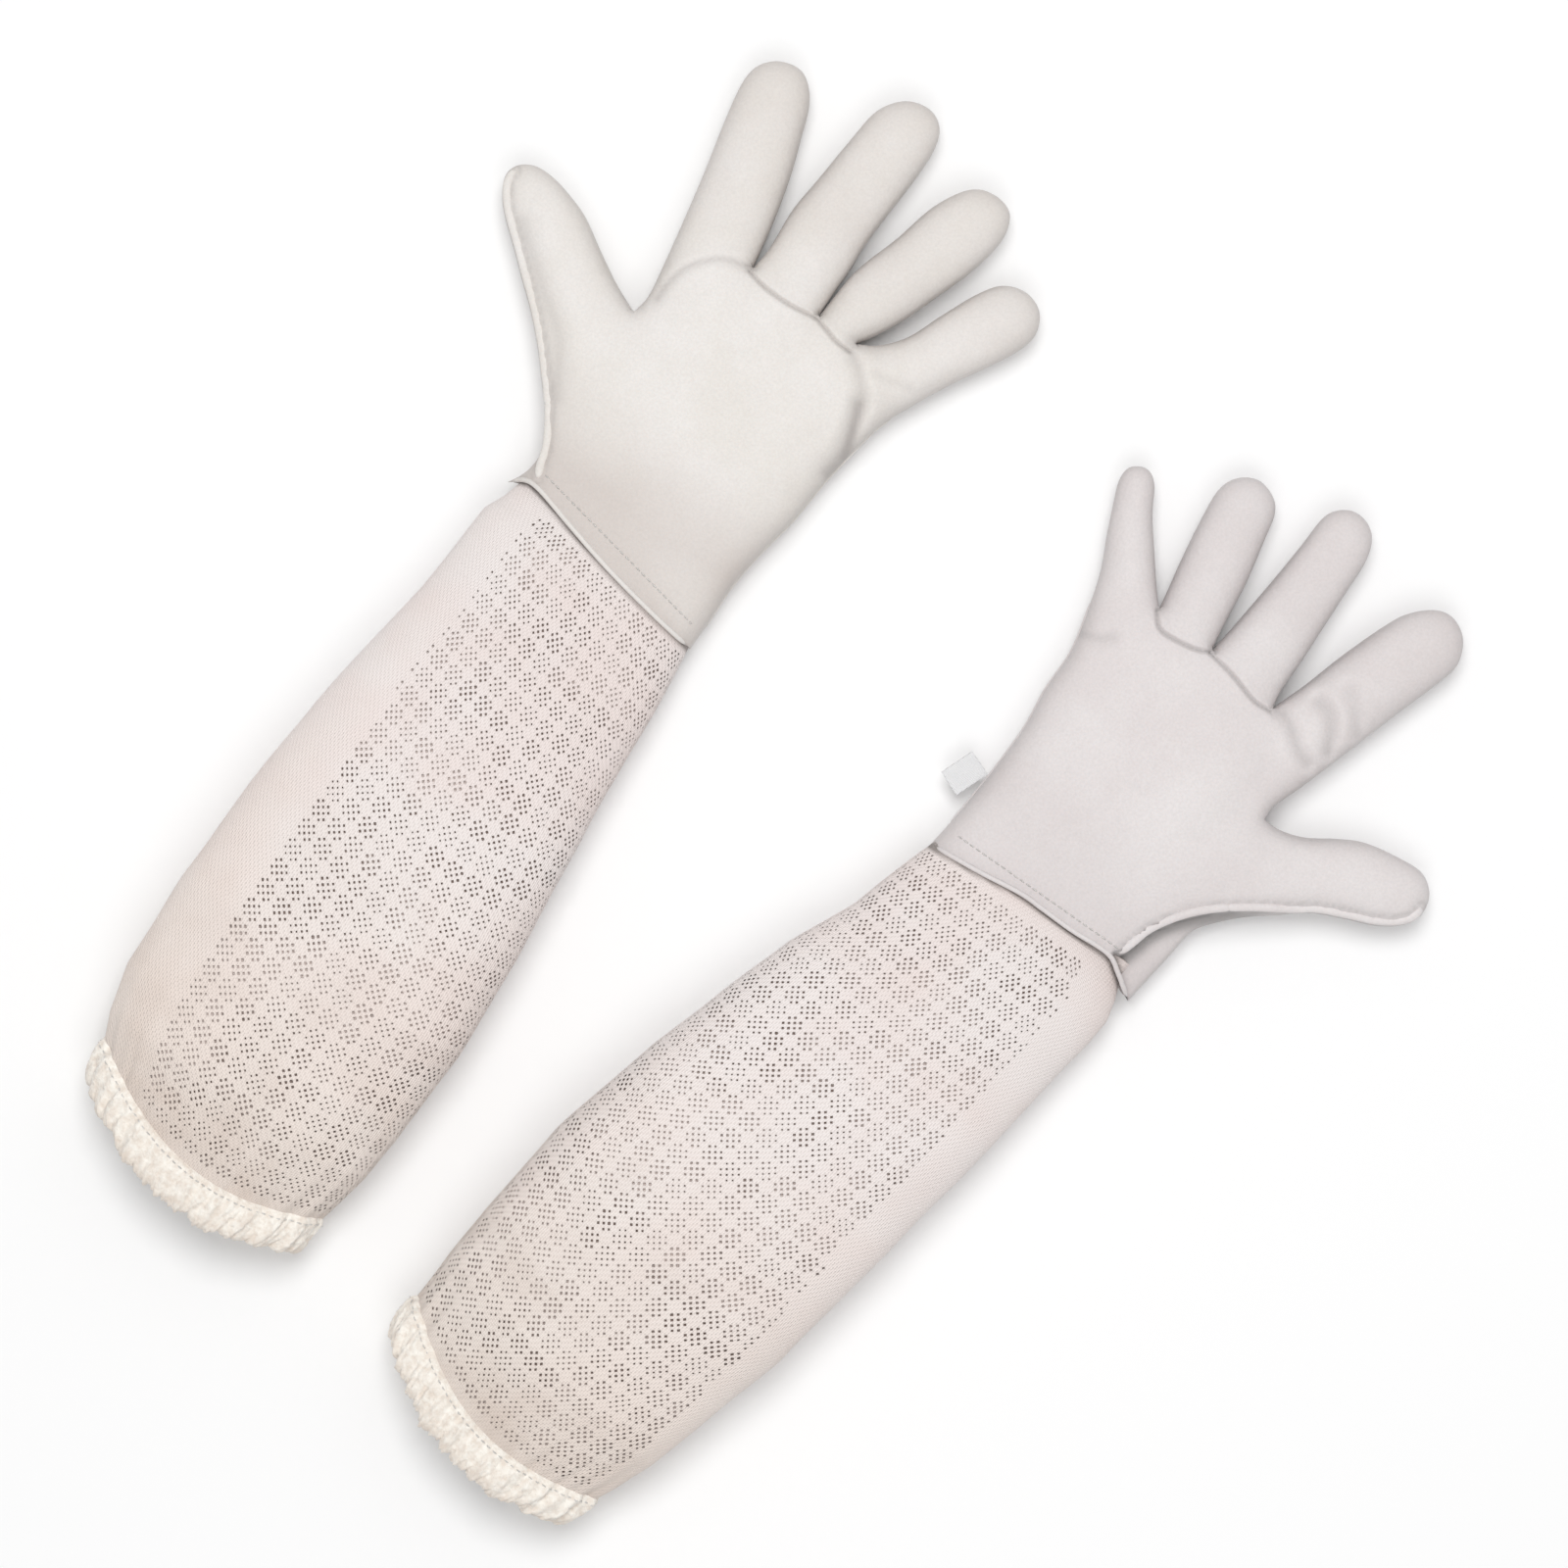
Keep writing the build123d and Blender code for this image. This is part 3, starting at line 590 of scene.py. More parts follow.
def leather_heights(glove, points, edge, film):
    """Heights of the palm side and of the back, how much grey painted shade each point gets, and how much
    darker, pinker painted shade.
    """
    gap, which = nearest(points, edge)
    front, back = palm_height(film), back_height(film)
    fade = 1 - np.exp(-gap / 5.0)
    loose = ripple(points, 5, 62) * 0.9 + ripple(points, 6, 24) * 0.28 + ripple(points, 8, 9) * 0.07
    front += loose * fade
    pucker = np.sin(which * 1.05 + 2.2 * np.sin(which * 0.11)) * bell(gap - 2.2, 2.2)
    front += 0.16 * pucker
    back += 0.35 * (ripple(points, 7, 30) + 1) * fade
    # painted shade where the leather turns over at its edge
    shade = 0.30 * np.exp(-gap / 1.4)
    for line, depth, width, dark in glove.creases:
        away, _ = nearest(points, smooth_path(line, 0.6))
        ends = np.clip(1.25 - away / (3 * width), 0, 1)
        front -= depth * bell(away, width) * ends
        front += 0.35 * depth * bell(away - 2.1 * width, 0.9 * width) * ends
        shade += 0.75 * dark * bell(away, 0.6 * width) * ends
    for centre, depth, radius in glove.dents:
        away = np.linalg.norm(points - np.array(centre), axis=1)
        front -= depth * bell(away, radius) * (1 - np.exp(-gap / 3.0))
    beside = beside_welt(glove, points)
    low_down = np.clip((68 - points[:, 1]) / 16, 0, 1)
    outside = np.clip((-beside - 0.2) / 2.2, 0, 1)
    front -= glove.ledge * low_down * outside * (front - SEAM_HEIGHT)
    # painted shadow in the hollow outside the raised seam
    shade += 1.5 * glove.ledge * low_down * bell(beside + 3.4, 3.4)
    from_welt = np.abs(beside) - 2.1
    front -= 0.45 * bell(from_welt, 0.9) * (1 - np.exp(-gap / 0.8))
    # painted shade in the grooves either side of the raised seam
    shade += 0.30 * bell(from_welt, 0.6)
    # darker, pinker painted shade toward the wrist, the fingertips and the edges
    by_wrist = np.clip((60 - points[:, 1]) / 40, 0, 1) ** 1.3 * glove.wrist_tint
    by_tips = 0.3 * np.clip((points[:, 1] - 118) / 40, 0, 1)
    cloudy = 0.85 + 0.3 * ripple(points, 11, 55)
    pink_shade = np.clip((by_wrist + by_tips) * cloudy + 0.3 * np.exp(-gap / 7), 0, 1)
    on_edge = gap < 0.02
    front[on_edge] = back[on_edge] = SEAM_HEIGHT
    return front, np.maximum(back, 0.15), np.clip(shade, 0, 0.8), pink_shade


def split_leather(glove, points, triangles):
    """Which piece each triangle belongs to: band, palm or a digit."""
    centres = points[triangles].mean(1)
    piece = np.full(len(triangles), "palm", dtype=object)
    beyond = np.zeros(len(points), bool)
    for digit in DIGITS:
        ahead, beside = glove.along(digit, points)
        width = THUMB_SPAN if digit == "thumb" else FINGER_SPAN
        beyond |= (ahead > glove.blend_starts[digit] - 1) & (np.abs(beside) < width)
    wrist_ahead, _ = glove.along("wrist", points)
    beyond &= wrist_ahead > WRIST_BLEND
    chosen = beyond[triangles].all(1)
    label = np.arange(len(points))
    group = triangles[chosen]
    while True:
        lowest = label[group].min(1)
        before = label.copy()
        np.minimum.at(label, group.ravel(), np.repeat(lowest, 3))
        label = label[label]
        if (label == before).all():
            break
    first = label[triangles[:, 0]]
    for number in np.unique(first[chosen]):
        part = chosen & (first == number)
        if part.sum() < SMALL_PATCH:
            continue
        scores = {}
        for digit in DIGITS:
            ahead, beside = glove.along(digit, centres[part])
            scores[digit] = abs(beside.mean()) + (1e3 if ahead.mean() < 0 else 0)
        piece[part] = min(scores, key=scores.get)
    ahead, _ = glove.along("wrist", centres)
    piece[ahead < 0] = "band"
    return piece


def vertex_normals(vertices, faces):
    corner = vertices[faces]
    flat = np.cross(corner[:, 1] - corner[:, 0], corner[:, 2] - corner[:, 0])
    normals = np.zeros_like(vertices)
    for k in range(3):
        np.add.at(normals, faces[:, k], flat)
    return normals / np.maximum(np.linalg.norm(normals, axis=1), 1e-12)[:, None]


def cut_piece(name, vertices, faces, normals, shade, pink_shade, material):
    """A piece of a larger skin that keeps the whole skin's normals."""
    used, inverse = np.unique(faces, return_inverse=True)
    obj = make_object(name, vertices[used], inverse.reshape(-1, 3).tolist(), material)
    obj.data.normals_split_custom_set_from_vertices(normals[used].tolist())
    point_value(obj, "shade", shade[used])
    point_value(obj, "pink_shade", pink_shade[used])
    return obj


def tube(path, ups, radius_x, radius_z, sides=8):
    """A closed flattened tube along a path; ups are its short axis at each point."""
    ahead = headings(path)
    aside = np.cross(ahead, ups)
    aside /= np.linalg.norm(aside, axis=1)[:, None]
    lift = np.cross(aside, ahead)
    count = len(path)
    taper = np.ones(count)
    taper[:3] = taper[-3:][::-1] = TUBE_TAPER
    vertices, faces = [], []
    for k in range(sides):
        angle = 2 * pi * k / sides
        spoke = aside * radius_x * cos(angle) + lift * radius_z * sin(angle)
        vertices.append(path + taper[:, None] * spoke)
    vertices = np.stack(vertices, axis=1).reshape(-1, 3)
    for i in range(count - 1):
        for k in range(sides):
            m = (k + 1) % sides
            faces.append((i * sides + k, i * sides + m, (i + 1) * sides + m, (i + 1) * sides + k))
    faces.append(tuple(range(sides))[::-1])
    faces.append(tuple((count - 1) * sides + k for k in range(sides)))
    return vertices, faces


def joined(parts):
    """Several (vertices, faces) put together."""
    vertices, faces, start = [], [], 0
    for some, polygons in parts:
        vertices.append(np.asarray(some))
        faces += [tuple(i + start for i in polygon) for polygon in polygons]
        start += len(some)
    return np.vstack(vertices), faces


def stitches(path, ups, length=2.3, gap=0.9, radius=0.32):
    """A row of short threads lying along a path."""
    run = np.concatenate(([0], np.cumsum(np.linalg.norm(np.diff(path, axis=0), axis=1))))
    parts = []
    for start in np.arange(0.5, run[-1] - length, length + gap):
        at = np.linspace(start, start + length, 7)
        line = np.column_stack([np.interp(at, run, path[:, k]) for k in range(3)])
        up = np.column_stack([np.interp(at, run, ups[:, k]) for k in range(3)])
        arch = 0.28 * np.sin(np.linspace(0, pi, 7))[:, None] - 0.1
        parts.append(tube(line + up * arch, up, radius, radius * 0.8, 6))
    return joined(parts)


def sampled(points, values, at):
    """Values of the nearest of the flat points."""
    _, which = nearest(at, points)
    return values[which]


def build_hand(glove):
    """The leather of the hand, the digits and the band, as pieces of one palm skin and one back skin."""
    points, triangles, edge, hem_start, hem = flat_leather(glove)
    triangles = triangles[:, ::-1] if signed_area(points, triangles) < 0 else triangles
    gap, which = nearest(points, edge)
    pinned = (gap < 0.02) & (which <= hem_start)
    film = inflate(points, triangles, pinned)
    front, back, shade, pink_shade = leather_heights(glove, points, edge, film)
    hem_gap, _ = nearest(points, hem)
    free_hem = (gap < 0.02) & (hem_gap < 0.02) & ~pinned
    front[free_hem] = palm_height(film)[free_hem]
    back[free_hem] = back_height(film)[free_hem] - HEM_SAG
    piece = split_leather(glove, points, triangles)
    up_faces = triangles if glove.side > 0 else triangles[:, ::-1]
    name, material = glove.name, LEATHER[glove.name]
    # the painted shade of each side; the back gets a weaker copy of the palm side's
    for face_name, height, faces, painted_shade in (("front", front, up_faces, shade),
                                               ("back", back, up_faces[:, ::-1], shade * 0.6)):
        vertices = glove.row(np.column_stack((points, height)))
        normals = vertex_normals(vertices, faces)

        def cut(key, piece_name):
            return cut_piece(piece_name, vertices, faces[piece == key], normals, painted_shade, pink_shade, material)

        panel = {"front": "_palm_", "back": "_back_"}[face_name]
        obj = cut("palm", name + panel + "leather")
        finish_piece(obj, nodes=(name + panel + "panel",))
        blend_at_wrist(obj)
        for digit in DIGITS:
            node = f"{name}_{digit}_{face_name}"
            obj = cut(digit, node)
            finish_piece(obj, nodes=(node,))
            blend_at_digit(obj)
        obj = cut("band", f"{name}_wrist_band_{face_name}")
        finish_piece(obj, name + "_sleeve", (name + "_wrist_band",))
    return points, front, back, hem


def signed_area(points, triangles):
    """Twice the area of one triangle, above zero when its corners run anticlockwise."""
    corner = points[triangles[len(triangles) // 2]]
    first, second = corner[1] - corner[0], corner[2] - corner[0]
    return first[0] * second[1] - first[1] * second[0]


def smooth_values(values, width=7):
    """A running mean."""
    padded = np.pad(values, width // 2, mode="edge")
    return np.convolve(padded, np.ones(width) / width, mode="valid")


def upright(path, way=1.0):
    """The vertical at each point of a path."""
    return np.tile((0.0, 0.0, way), (len(path), 1))


def leather_tube(glove, name, path, radius_x, radius_z, sides, shade):
    """A rounded strip of the glove's leather along a path."""
    vertices, faces = tube(path, upright(path), radius_x, radius_z, sides)
    obj = make_object(name, vertices, faces, LEATHER[glove.name])
    point_value(obj, "shade", np.full(len(vertices), shade))
    return obj


def build_hem(glove, points, front, back, hem):
    """The turned edge of the band and the row of stitches above it."""
    inner = hem[2:-2]
    parts = []
    for height, lift in ((front, -0.15), (back, 0.9)):
        z = sampled(points, height, inner)
        path = glove.row(np.column_stack((inner, np.maximum(z + lift, 0.9))))
        parts.append(tube(path, upright(path), 1.0, 0.95, 10))
    vertices, faces = joined(parts)
    obj = make_object(glove.name + "_wrist_hem_edge", vertices, faces, LEATHER[glove.name])
    point_value(obj, "shade", np.full(len(vertices), 0.05))
    finish_piece(obj, glove.name + "_sleeve")
    x = np.linspace(glove.stitch_start, 43.0, 120)
    line = np.column_stack((x, HEM_SLOPE * x + 5.6))
    parts = []
    for height, lift, way in ((front, 0.3, 1.0), (back, -0.05, -1.0)):
        z = sampled(points, height, line)
        path = glove.row(np.column_stack((line, np.maximum(smooth_values(z) + lift, 0.35))))
        parts.append(stitches(path, upright(path, way), 2.2, 0.8, 0.26))
    obj = make_object(glove.name + "_wrist_stitches", *joined(parts), THREAD)
    finish_piece(obj, glove.name + "_sleeve", (glove.name + "_wrist_stitching",))


def build_welt(glove, points, front):
    """The raised seam from the wrist along the thumb's outer edge to its tip."""
    route = welt_route(glove)
    z = smooth_values(sampled(points, front, route), 9) + 0.25
    line = glove.row(np.column_stack((route, z)))
    ahead_thumb, _ = glove.along("thumb", route)
    cut = int(np.argmax(ahead_thumb > glove.blend_starts["thumb"] - 1))
    size = (WELT_WIDTH, WELT_HEIGHT, 12, 0.0)
    obj = leather_tube(glove, glove.name + "_thumb_welt_piece", line[cut:], *size)
    finish_piece(obj, nodes=(glove.name + "_thumb_welt",))
    blend_at_digit(obj)
    obj = leather_tube(glove, glove.name + "_wrist_welt_piece", line[:cut + 3], *size)
    finish_piece(obj)
    blend_at_wrist(obj)


def build_side_seam(glove):
    """The thin ridge of the seam on the little-finger side."""
    side = smooth_path(glove.spans[4], 1.0)
    ahead_wrist, _ = glove.along("wrist", side)
    ahead_digit, _ = glove.along("little", side)
    part = side[(ahead_wrist > 0.5) & (ahead_digit < 3) & (side[:, 0] > 44)]
    path = glove.row(np.column_stack((part, np.full(len(part), SEAM_HEIGHT))))
    obj = leather_tube(glove, glove.name + "_hand_seam_ridge", path, 0.55, 0.8, 8, 0.1)
    finish_piece(obj, nodes=(glove.name + "_hand_seam",))
    blend_at_wrist(obj)


# ---------------------------------------------------------------- the sleeve

COLUMNS = 192  # grid squares around the sleeve, in groups of six
ROWS = 186  # grid squares along it
HEM_SLOPE = -0.2035  # how much the hem falls towards the little finger
HEM_MIDDLE = -2.0  # where the hem crosses the middle of the glove
TUCK = 5.0  # how far the sleeve runs up under the band
SLEEVE_LENGTH = 290  # from its top edge to the cuff
CUFF_WIDTH = 16.0
CUFF_COLUMNS = 640
HOLE_GROUP = 6  # a cluster of holes and the bars beside it, in grid squares
HOLE_ROWS = {0: (1, 3), 1: (0, 2, 4), 2: (1, 3), 3: (0, 2, 4), 4: (1, 3), 5: ()}
HOLE_REACH = (0.29, 0.445)  # the smallest and largest holes' half-width, in grid squares
OVAL_POWER = 2.5  # how squarely the sleeve's section bulges: 2 is an ellipse
TYPICAL_HALF_WIDTH, TYPICAL_HALF_HEIGHT = 60, 27  # of the sleeve
# the casing's section, from its upper edge round the outside and back in: (past the edge, depth)
CASING_SECTION = ((-1.0, 0.3), (0.0, -0.9), (1.5, -1.9), (4.0, -2.4), (8.0, -2.7), (12.0, -2.4), (15.0, -1.6),
                  (16.4, -0.1), (16.6, 1.6), (15.8, 3.2), (13.0, 4.0), (8.0, 4.2), (2.0, 4.3))
# (waves round the cuff, size) of its gathers and of its frilled edge
GATHERS = ((17, 0.3), (31, 0.3), (47, 0.3), (73, 0.3), (101, 0.22))
FRILLS = ((7, 0.8), (23, 0.6), (41, 0.5), (83, 0.4), (131, 0.3))


def squarer(value):
    """A sine or cosine bent so that an ellipse turns into a squarer oval."""
    return np.sign(value) * np.abs(value) ** (2 / OVAL_POWER)


def even_turns():
    """Turns and the lengths reached round a typical section, for spacing the knit evenly."""
    turn = np.linspace(0, 2 * pi, 4001)
    across, up = TYPICAL_HALF_WIDTH * squarer(np.cos(turn)), TYPICAL_HALF_HEIGHT * squarer(np.sin(turn))
    run = np.concatenate(([0], np.cumsum(np.hypot(np.diff(across), np.diff(up)))))
    return turn, run / run[-1] * 2 * pi


TURNS, REACHED = even_turns()


def sleeve_surface(glove, angle, share, depth=0.0, past=0.0):
    """Points of the sleeve: angle 0 is the little-finger side, a quarter turn is the top, and equal angles
    are equal lengths of knit. share runs from the wrist to the cuff's upper edge, and past is how far beyond
    that edge a point lies, in millimetres."""
    table = glove.sleeve
    end_y, tilt, bulge = glove.cuff_ends
    turn = np.interp(angle, REACHED, TURNS)
    wide, high = squarer(np.cos(turn)), squarer(np.sin(turn))

    def across(y):
        thumb, little, tall = (np.interp(y, table[:, 0], table[:, k]) for k in (1, 2, 3))
        return (thumb + little) / 2, (little - thumb) / 2, tall

    y = 5.0 + share * (end_y + CUFF_WIDTH - 5.0) - past
    for _ in range(3):
        middle, half, tall = across(y)
        x = middle + half * wide
        top = HEM_MIDDLE + HEM_SLOPE * x + TUCK
        bow = bulge * (1 - np.clip(np.abs(wide), 0, 1) ** 2)
        bottom = end_y + CUFF_WIDTH + tilt * x - bow
        y = top + share * (bottom - top) - past
    flat = np.column_stack((np.ravel(wide) * TYPICAL_HALF_WIDTH, np.ravel(y)))
    swell = (ripple(flat, 21, 95) * 1.3 + ripple(flat, 22, 38) * 0.55).reshape(np.shape(wide))
    swell = swell * np.clip(share * 6, 0, 1) * np.clip((1.02 - share) * 7, 0.25, 1)
    half = half - depth + 0.35 * swell
    tall = tall - 2 * depth
    lift = 2.2 * np.clip((y + 9) / 7, 0, 1)
    z = depth + lift + (tall - lift) / 2 * (1 + high) + swell * np.clip(high, 0, 1)
    gather = np.exp(-np.clip(1 - share, 0, 1) * SLEEVE_LENGTH / 16)
    pleat = np.sin(angle * 34 + 2 * np.sin(angle * 5)) * 0.7 + np.sin(angle * 21 + 1.3) * 0.5
    z = z + gather * pleat * 0.8 * np.abs(high)
    x = middle + (half + gather * pleat * 0.8 * np.abs(wide)) * wide
    return np.stack((x, y, np.maximum(z, 0.3 + depth)), axis=-1)


def ring_faces(rings, columns, turned, closed=False):
    """Quads between rings of points; closed joins the last ring to the first."""
    faces = []
    for r in range(rings if closed else rings - 1):
        s = (r + 1) % rings
        for c in range(columns):
            d = (c + 1) % columns
            faces.append((r * columns + c, s * columns + c, s * columns + d, r * columns + d))
    return [face[::-1] for face in faces] if turned else faces


def holed_squares(glove, columns, rows):
    """Which grid squares have a hole."""
    holed = np.zeros(len(columns), bool)
    for row, cells in HOLE_ROWS.items():
        for cell in cells:
            holed |= (rows % HOLE_GROUP == row) & (columns % HOLE_GROUP == cell)
    start, start_at_cuff, stop = glove.plain
    turn, fraction = (columns + 0.5) * 2 * pi / COLUMNS, (rows + 0.5) / ROWS
    low = np.radians(start + (start_at_cuff - start) * fraction)
    plain = (turn > low) & (turn < radians(stop))
    return holed & ~plain & (fraction > 0.03) & (fraction < 0.985)


def knit_shade(glove, corners, share):
    """Painted shade on the knit: a painted shadow just below the hem, and painted shade where the cuff draws
    the knit in.
    """
    from_cuff = (1 - share) * SLEEVE_LENGTH
    from_hem, _ = nearest(corners[:, :2], smooth_path(glove.hem, 1.0))
    under_hem = 0.9 * bell(np.maximum(from_hem - 1.1, 0), 1.0)
    return 0.14 * np.exp(-from_cuff / 7) + 0.06 * np.exp(-from_cuff / 30) + under_hem


def build_sleeve_mesh(glove):
    """The outer knit with real holes in clusters of twelve."""
    step = 2 * pi / COLUMNS
    grid_angle, grid_share = np.meshgrid(2 * pi * np.arange(COLUMNS) / COLUMNS, np.arange(ROWS + 1) / ROWS)
    corners = sleeve_surface(glove, grid_angle, grid_share).reshape(-1, 3)
    columns, rows = (part.ravel() for part in np.meshgrid(np.arange(COLUMNS), np.arange(ROWS)))
    holed = holed_squares(glove, columns, rows)
    size = (ROWS // HOLE_GROUP + 2, COLUMNS // HOLE_GROUP + 2)
    clusters = np.random.default_rng(41).uniform(HOLE_REACH[0], HOLE_REACH[1], size)
    reach = clusters[rows[holed] // HOLE_GROUP, columns[holed] // HOLE_GROUP]
    reach = reach + np.random.default_rng(42).uniform(-0.05, 0.05, len(reach))
    vertices, shade = [corners], [knit_shade(glove, corners, grid_share.ravel())]
    shares = [grid_share.ravel()]
    directions = ((0, -1), (1, 0), (0, 1), (-1, 0))
    for across, along in directions:
        angle = (columns[holed] + 0.5 + across * reach) * step
        share = (rows[holed] + 0.5 + along * reach) / ROWS
        vertices.append(sleeve_surface(glove, angle, share, 0.12))
        shade.append(np.full(len(angle), 0.16))
        shares.append(share)
    total = int(holed.sum())
    number = -np.ones(len(columns), int)
    number[holed] = np.arange(total)
    faces, uvs = [], []
    for c, r, hole in zip(columns.tolist(), rows.tolist(), number.tolist()):
        d = (c + 1) % COLUMNS
        ring = (r * COLUMNS + c, r * COLUMNS + d, (r + 1) * COLUMNS + d, (r + 1) * COLUMNS + c)
        box = ((c, r), (c + 1, r), (c + 1, r + 1), (c, r + 1))
        if hole < 0:
            faces.append((ring[0], ring[3], ring[2], ring[1]))
            uvs.append((box[0], box[3], box[2], box[1]))
            continue
        inner = [len(corners) + k * total + hole for k in range(4)]
        at = [(c + 0.5 + x * reach[hole], r + 0.5 + y * reach[hole]) for x, y in directions]
        for k in range(4):
            m = (k + 1) % 4
            faces += [(ring[k], inner[k], ring[m]), (ring[m], inner[k], inner[m])]
            uvs += [(box[k], at[k], box[m]), (box[m], at[k], at[m])]
    if glove.side > 0:
        faces, uvs = [face[::-1] for face in faces], [uv[::-1] for uv in uvs]
    obj = make_object(glove.name + "_sleeve_knit", glove.row(np.vstack(vertices)), faces, KNIT)
    layer = obj.data.uv_layers.new(name="grid")
    flat = np.array([pair for uv in uvs for pair in uv], np.float32)
    layer.data.foreach_set("uv", flat.ravel())
    point_value(obj, "shade", np.concatenate(shade))
    point_value(obj, "cream", np.clip((np.concatenate(shares) - 0.35) / 0.65, 0, 1) ** 1.3 * 0.75)
    finish_piece(obj, glove.name + "_sleeve", (glove.name + "_sleeve_mesh",))


def plain_tube(glove, layer_name, depth, material, past_end=0.0, outward=True):
    """A hole-free layer of the sleeve, which faces the arm when it isn't outward."""
    columns, rows = 120, 90
    angle, share = np.meshgrid(2 * pi * np.arange(columns) / columns, np.linspace(0, 1, rows + 1))
    surface = sleeve_surface(glove, angle, share, depth, past_end * share**8)
    faces = ring_faces(rows + 1, columns, (glove.side > 0) == outward)
    obj = make_object(f"{glove.name}_{layer_name}_layer", glove.row(surface.reshape(-1, 3)), faces, material)
    finish_piece(obj, glove.name + "_sleeve", (f"{glove.name}_sleeve_{layer_name}",))


def build_casing(glove, angle):
    """The cuff's gathered casing, folded over its end."""
    profile = smooth_path(CASING_SECTION, 1.15)
    ones = np.ones(CUFF_COLUMNS)
    random = np.random.default_rng(glove.cuff_seed)

    def wavy(waves, twist, turns):
        field = np.zeros(CUFF_COLUMNS)
        for count, size in waves:
            phase = random.uniform(0, 2 * pi) + twist * np.sin(angle * turns + count)
            field += size * np.sin(angle * count + phase)
        return field

    gathers = wavy(GATHERS, 2.5, 3)
    frill = wavy(FRILLS, 1.5, 5)
    tufts = random.normal(0, 1, (len(profile), CUFF_COLUMNS))
    for _ in range(2):
        tufts = (tufts + np.roll(tufts, 1, 1) + np.roll(tufts, -1, 1)) / 2.2
    rings = []
    run = np.linspace(0, 1, len(profile))
    for step, (past, depth) in enumerate(profile):
        shown = sin(pi * run[step] / 0.62) if run[step] < 0.62 else 0.0
        lean = np.roll(gathers, int(step * 0.8))
        edge = frill * float(bell(past - 16, 5))
        fluff = 0.25 * shown * np.roll(tufts[step], 7)
        rings.append(sleeve_surface(glove, angle, ones, depth - shown * (0.55 * lean + 0.24 * tufts[step]),
                                    past + edge + fluff))
    surface = np.stack(rings)
    surface[..., 2] = np.maximum(surface[..., 2], 0.1)
    faces = ring_faces(len(profile), CUFF_COLUMNS, glove.side > 0)
    obj = make_object(glove.name + "_cuff_gathers", glove.row(surface.reshape(-1, 3)), faces, CUFF)
    # painted shade round the casing's folded outer edge, broken up by the tufts
    outer_edge = np.repeat(0.6 * bell(profile[:, 0] - 15.5, 3.2), CUFF_COLUMNS)
    point_value(obj, "shade", outer_edge * (0.75 + 0.25 * np.sign(tufts.ravel())))
    finish_piece(obj, glove.name + "_sleeve", (glove.name + "_cuff_casing",))


def build_elastic(glove, angle):
    """The band of elastic inside the casing."""
    band = [sleeve_surface(glove, angle, np.ones(len(angle)), depth, past)
            for past, depth in ((4.0, 1.0), (12.0, 1.0), (12.0, 2.2), (4.0, 2.2))]
    faces = ring_faces(4, len(angle), glove.side > 0, closed=True)
    obj = make_object(glove.name + "_cuff_elastic_band", glove.row(np.vstack(band)), faces, ELASTIC)
    finish_piece(obj, glove.name + "_sleeve", (glove.name + "_cuff_elastic",))


def build_cuff_stitches(glove, angle):
    """The stitches that close the casing, round the sleeve."""
    ring = sleeve_surface(glove, angle, np.ones(len(angle)), -2.0, 1.7)
    away = ring - ring.mean(0)
    away[:, 1] = 0
    away /= np.linalg.norm(away, axis=1)[:, None]
    path = glove.row(ring)
    vertices, faces = stitches(path, glove.row(ring + away) - path, 2.0, 1.1, 0.3)
    vertices[:, 2] = np.maximum(vertices[:, 2], 0.1)
    obj = make_object(glove.name + "_cuff_stitches", vertices, faces, THREAD)
    finish_piece(obj, glove.name + "_sleeve", (glove.name + "_cuff_stitching",))


def build_cuff(glove):
    angle = 2 * pi * np.arange(CUFF_COLUMNS) / CUFF_COLUMNS
    build_casing(glove, angle)
    build_elastic(glove, angle[::4])
    build_cuff_stitches(glove, np.append(angle, 2 * pi))


# ---------------------------------------------------------------- label, camera, lights

LABEL_REACH, LABEL_LENGTH = 11.0, 15.0  # out from the seam, and along it


def build_label():
    """The blank woven tab, folded in half and slightly curled."""
    joint = JOINTS["right_label_fold"]
    root, axis = np.array(joint["pos_m"]), np.array(joint["axis"])
    outward = np.array((-axis[1], axis[0], 0))
    reach, length = LABEL_REACH * MM, LABEL_LENGTH * MM
    columns, rows = 24, 18
    vertices, faces = [], []
    for layer in (0.38, -0.38):
        for r in range(rows + 1):
            for c in range(columns + 1):
                u, v = r / rows, c / columns - 0.5
                curl = 0.5 * sin(3 * pi * v) * u + 0.7 * u * u - 0.25 * u
                pinch = layer * (1 - 0.9 * (abs(2 * v) ** 12)) * (1 - 0.85 * u**10)
                place = root + outward * reach * u + axis * length * v * (1 - 0.02 * u)
                vertices.append((place + np.array((0, 0, (curl + pinch) * MM))) / MM)
    side = (rows + 1) * (columns + 1)
    for layer in (0, 1):
        for r in range(rows):
            for c in range(columns):
                a = layer * side + r * (columns + 1) + c
                quad = (a, a + 1, a + columns + 2, a + columns + 1)
                faces.append(quad if layer == 0 else quad[::-1])
    rim = [r * (columns + 1) for r in range(rows + 1)]
    rim += [rows * (columns + 1) + c for c in range(1, columns + 1)]
    rim += [r * (columns + 1) + columns for r in range(rows - 1, -1, -1)]
    rim += [c for c in range(columns - 1, 0, -1)]
    for i, a in enumerate(rim):
        b = rim[(i + 1) % len(rim)]
        faces.append((a, a + side, b + side, b))
    obj = make_object("right_label_blank", np.array(vertices), faces, LABEL)
    finish_piece(obj, "right_label", ("right_label_tab",))


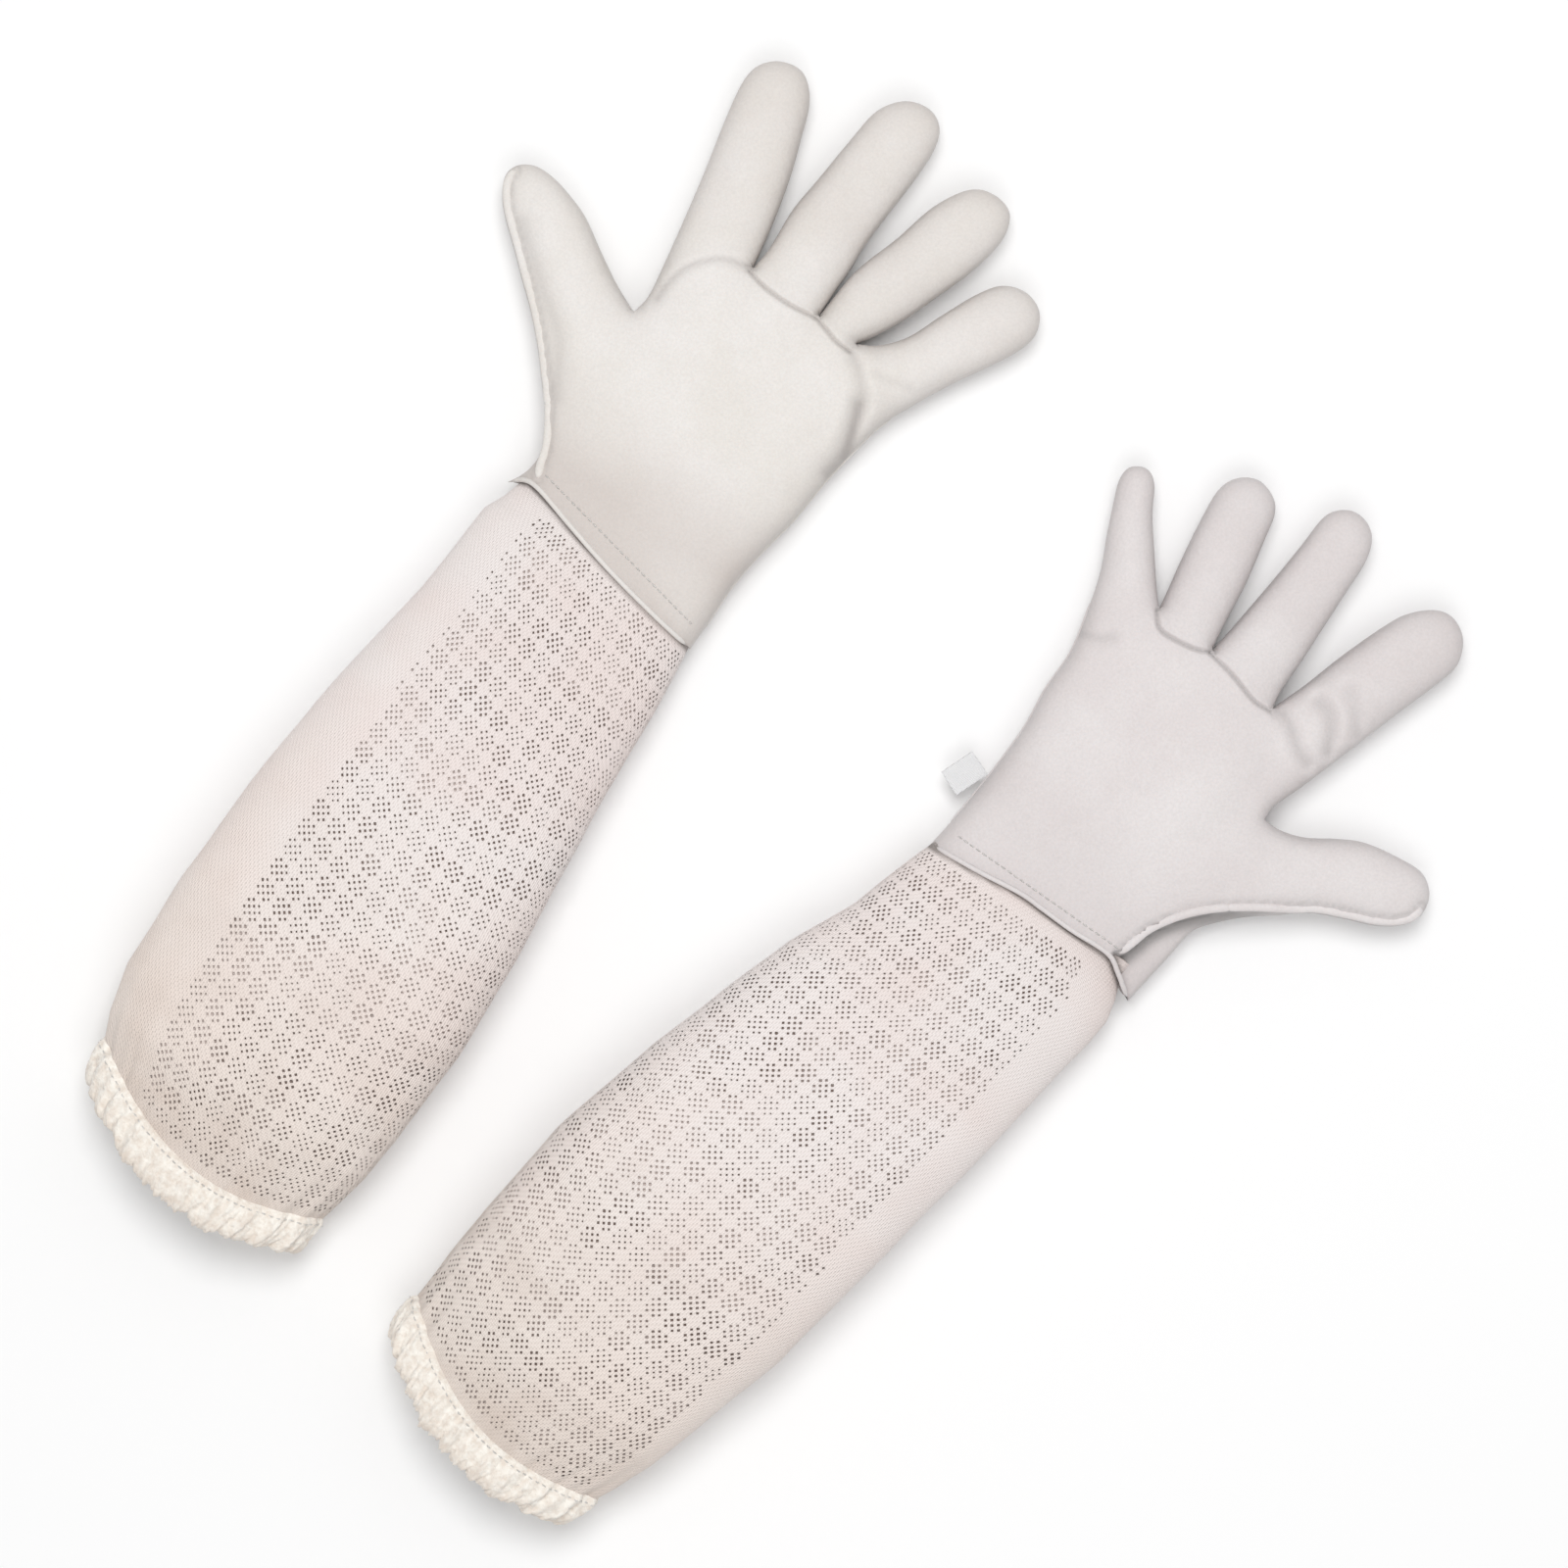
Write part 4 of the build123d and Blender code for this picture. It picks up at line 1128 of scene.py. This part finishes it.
PHOTO_TURN = 40.0  # the pair is drawn this far anticlockwise from how the picture shows it
VIEW_WIDTH = 0.616  # metres across the picture
VIEW_CENTRE = Vector((0.00616, 0.02353, 0.02))
CAMERA_HEIGHT = 2.4
FLOOR_HALF = 3000.0  # in millimetres
WORLD_STRENGTH = 0.47
# (name, place, width, power) of each lamp, in metres and watts
LIGHTS = (("key", (-0.45, 0.6, 2.6), 1.3, 36), ("fill", (0.7, -0.7, 2.5), 1.6, 14))


def build_camera():
    data = bpy.data.cameras.new("camera")
    data.sensor_width = 36
    data.lens = 36 * (CAMERA_HEIGHT - VIEW_CENTRE.z) / VIEW_WIDTH
    data.clip_end = 20
    camera = bpy.data.objects.new("camera", data)
    camera.location = (VIEW_CENTRE.x, VIEW_CENTRE.y, CAMERA_HEIGHT)
    camera.rotation_euler = (0, 0, radians(PHOTO_TURN))
    bpy.context.scene.collection.objects.link(camera)
    bpy.context.scene.camera = camera


def area_light(name, location, size, power):
    data = bpy.data.lights.new(name, "AREA")
    data.shape, data.size, data.energy = "DISK", size, power
    light = bpy.data.objects.new(name, data)
    light.location = location
    light.rotation_euler = (VIEW_CENTRE - Vector(location)).to_track_quat("-Z", "Y").to_euler()
    bpy.context.scene.collection.objects.link(light)


def build_studio():
    world = bpy.data.worlds.new("studio")
    world.use_nodes = True
    world.node_tree.nodes["Background"].inputs["Color"].default_value = (1.0, 1.0, 1.0, 1)
    world.node_tree.nodes["Background"].inputs["Strength"].default_value = WORLD_STRENGTH
    bpy.context.scene.world = world
    bpy.context.scene.view_settings.view_transform = "Standard"
    for name, location, size, power in LIGHTS:
        area_light(name, location, size, power)
    paint = Surface("pale_floor")
    paint.shader.inputs["Base Color"].default_value = (0.93, 0.93, 0.93, 1)
    paint.shader.inputs["Roughness"].default_value = 0.9
    corners = [(x * FLOOR_HALF, y * FLOOR_HALF, 0) for x, y in ((-1, -1), (1, -1), (1, 1), (-1, 1))]
    floor = make_object("floor", np.array(corners), [(0, 1, 2, 3)], paint.material, False)


for glove in (LEFT, RIGHT):
    points, front, back, hem = build_hand(glove)
    build_hem(glove, points, front, back, hem)
    build_welt(glove, points, front)
    build_side_seam(glove)
    build_sleeve_mesh(glove)
    plain_tube(glove, "spacer", 1.4, SPACER)
    plain_tube(glove, "lining", 4.3, LINING, 2.0, False)
    build_cuff(glove)
    seam = frame["nodes"][glove.name + "_sleeve_seam"]
    seam.data.materials.clear()
    seam.data.materials.append(TAPE)
build_label()
build_camera()
build_studio()
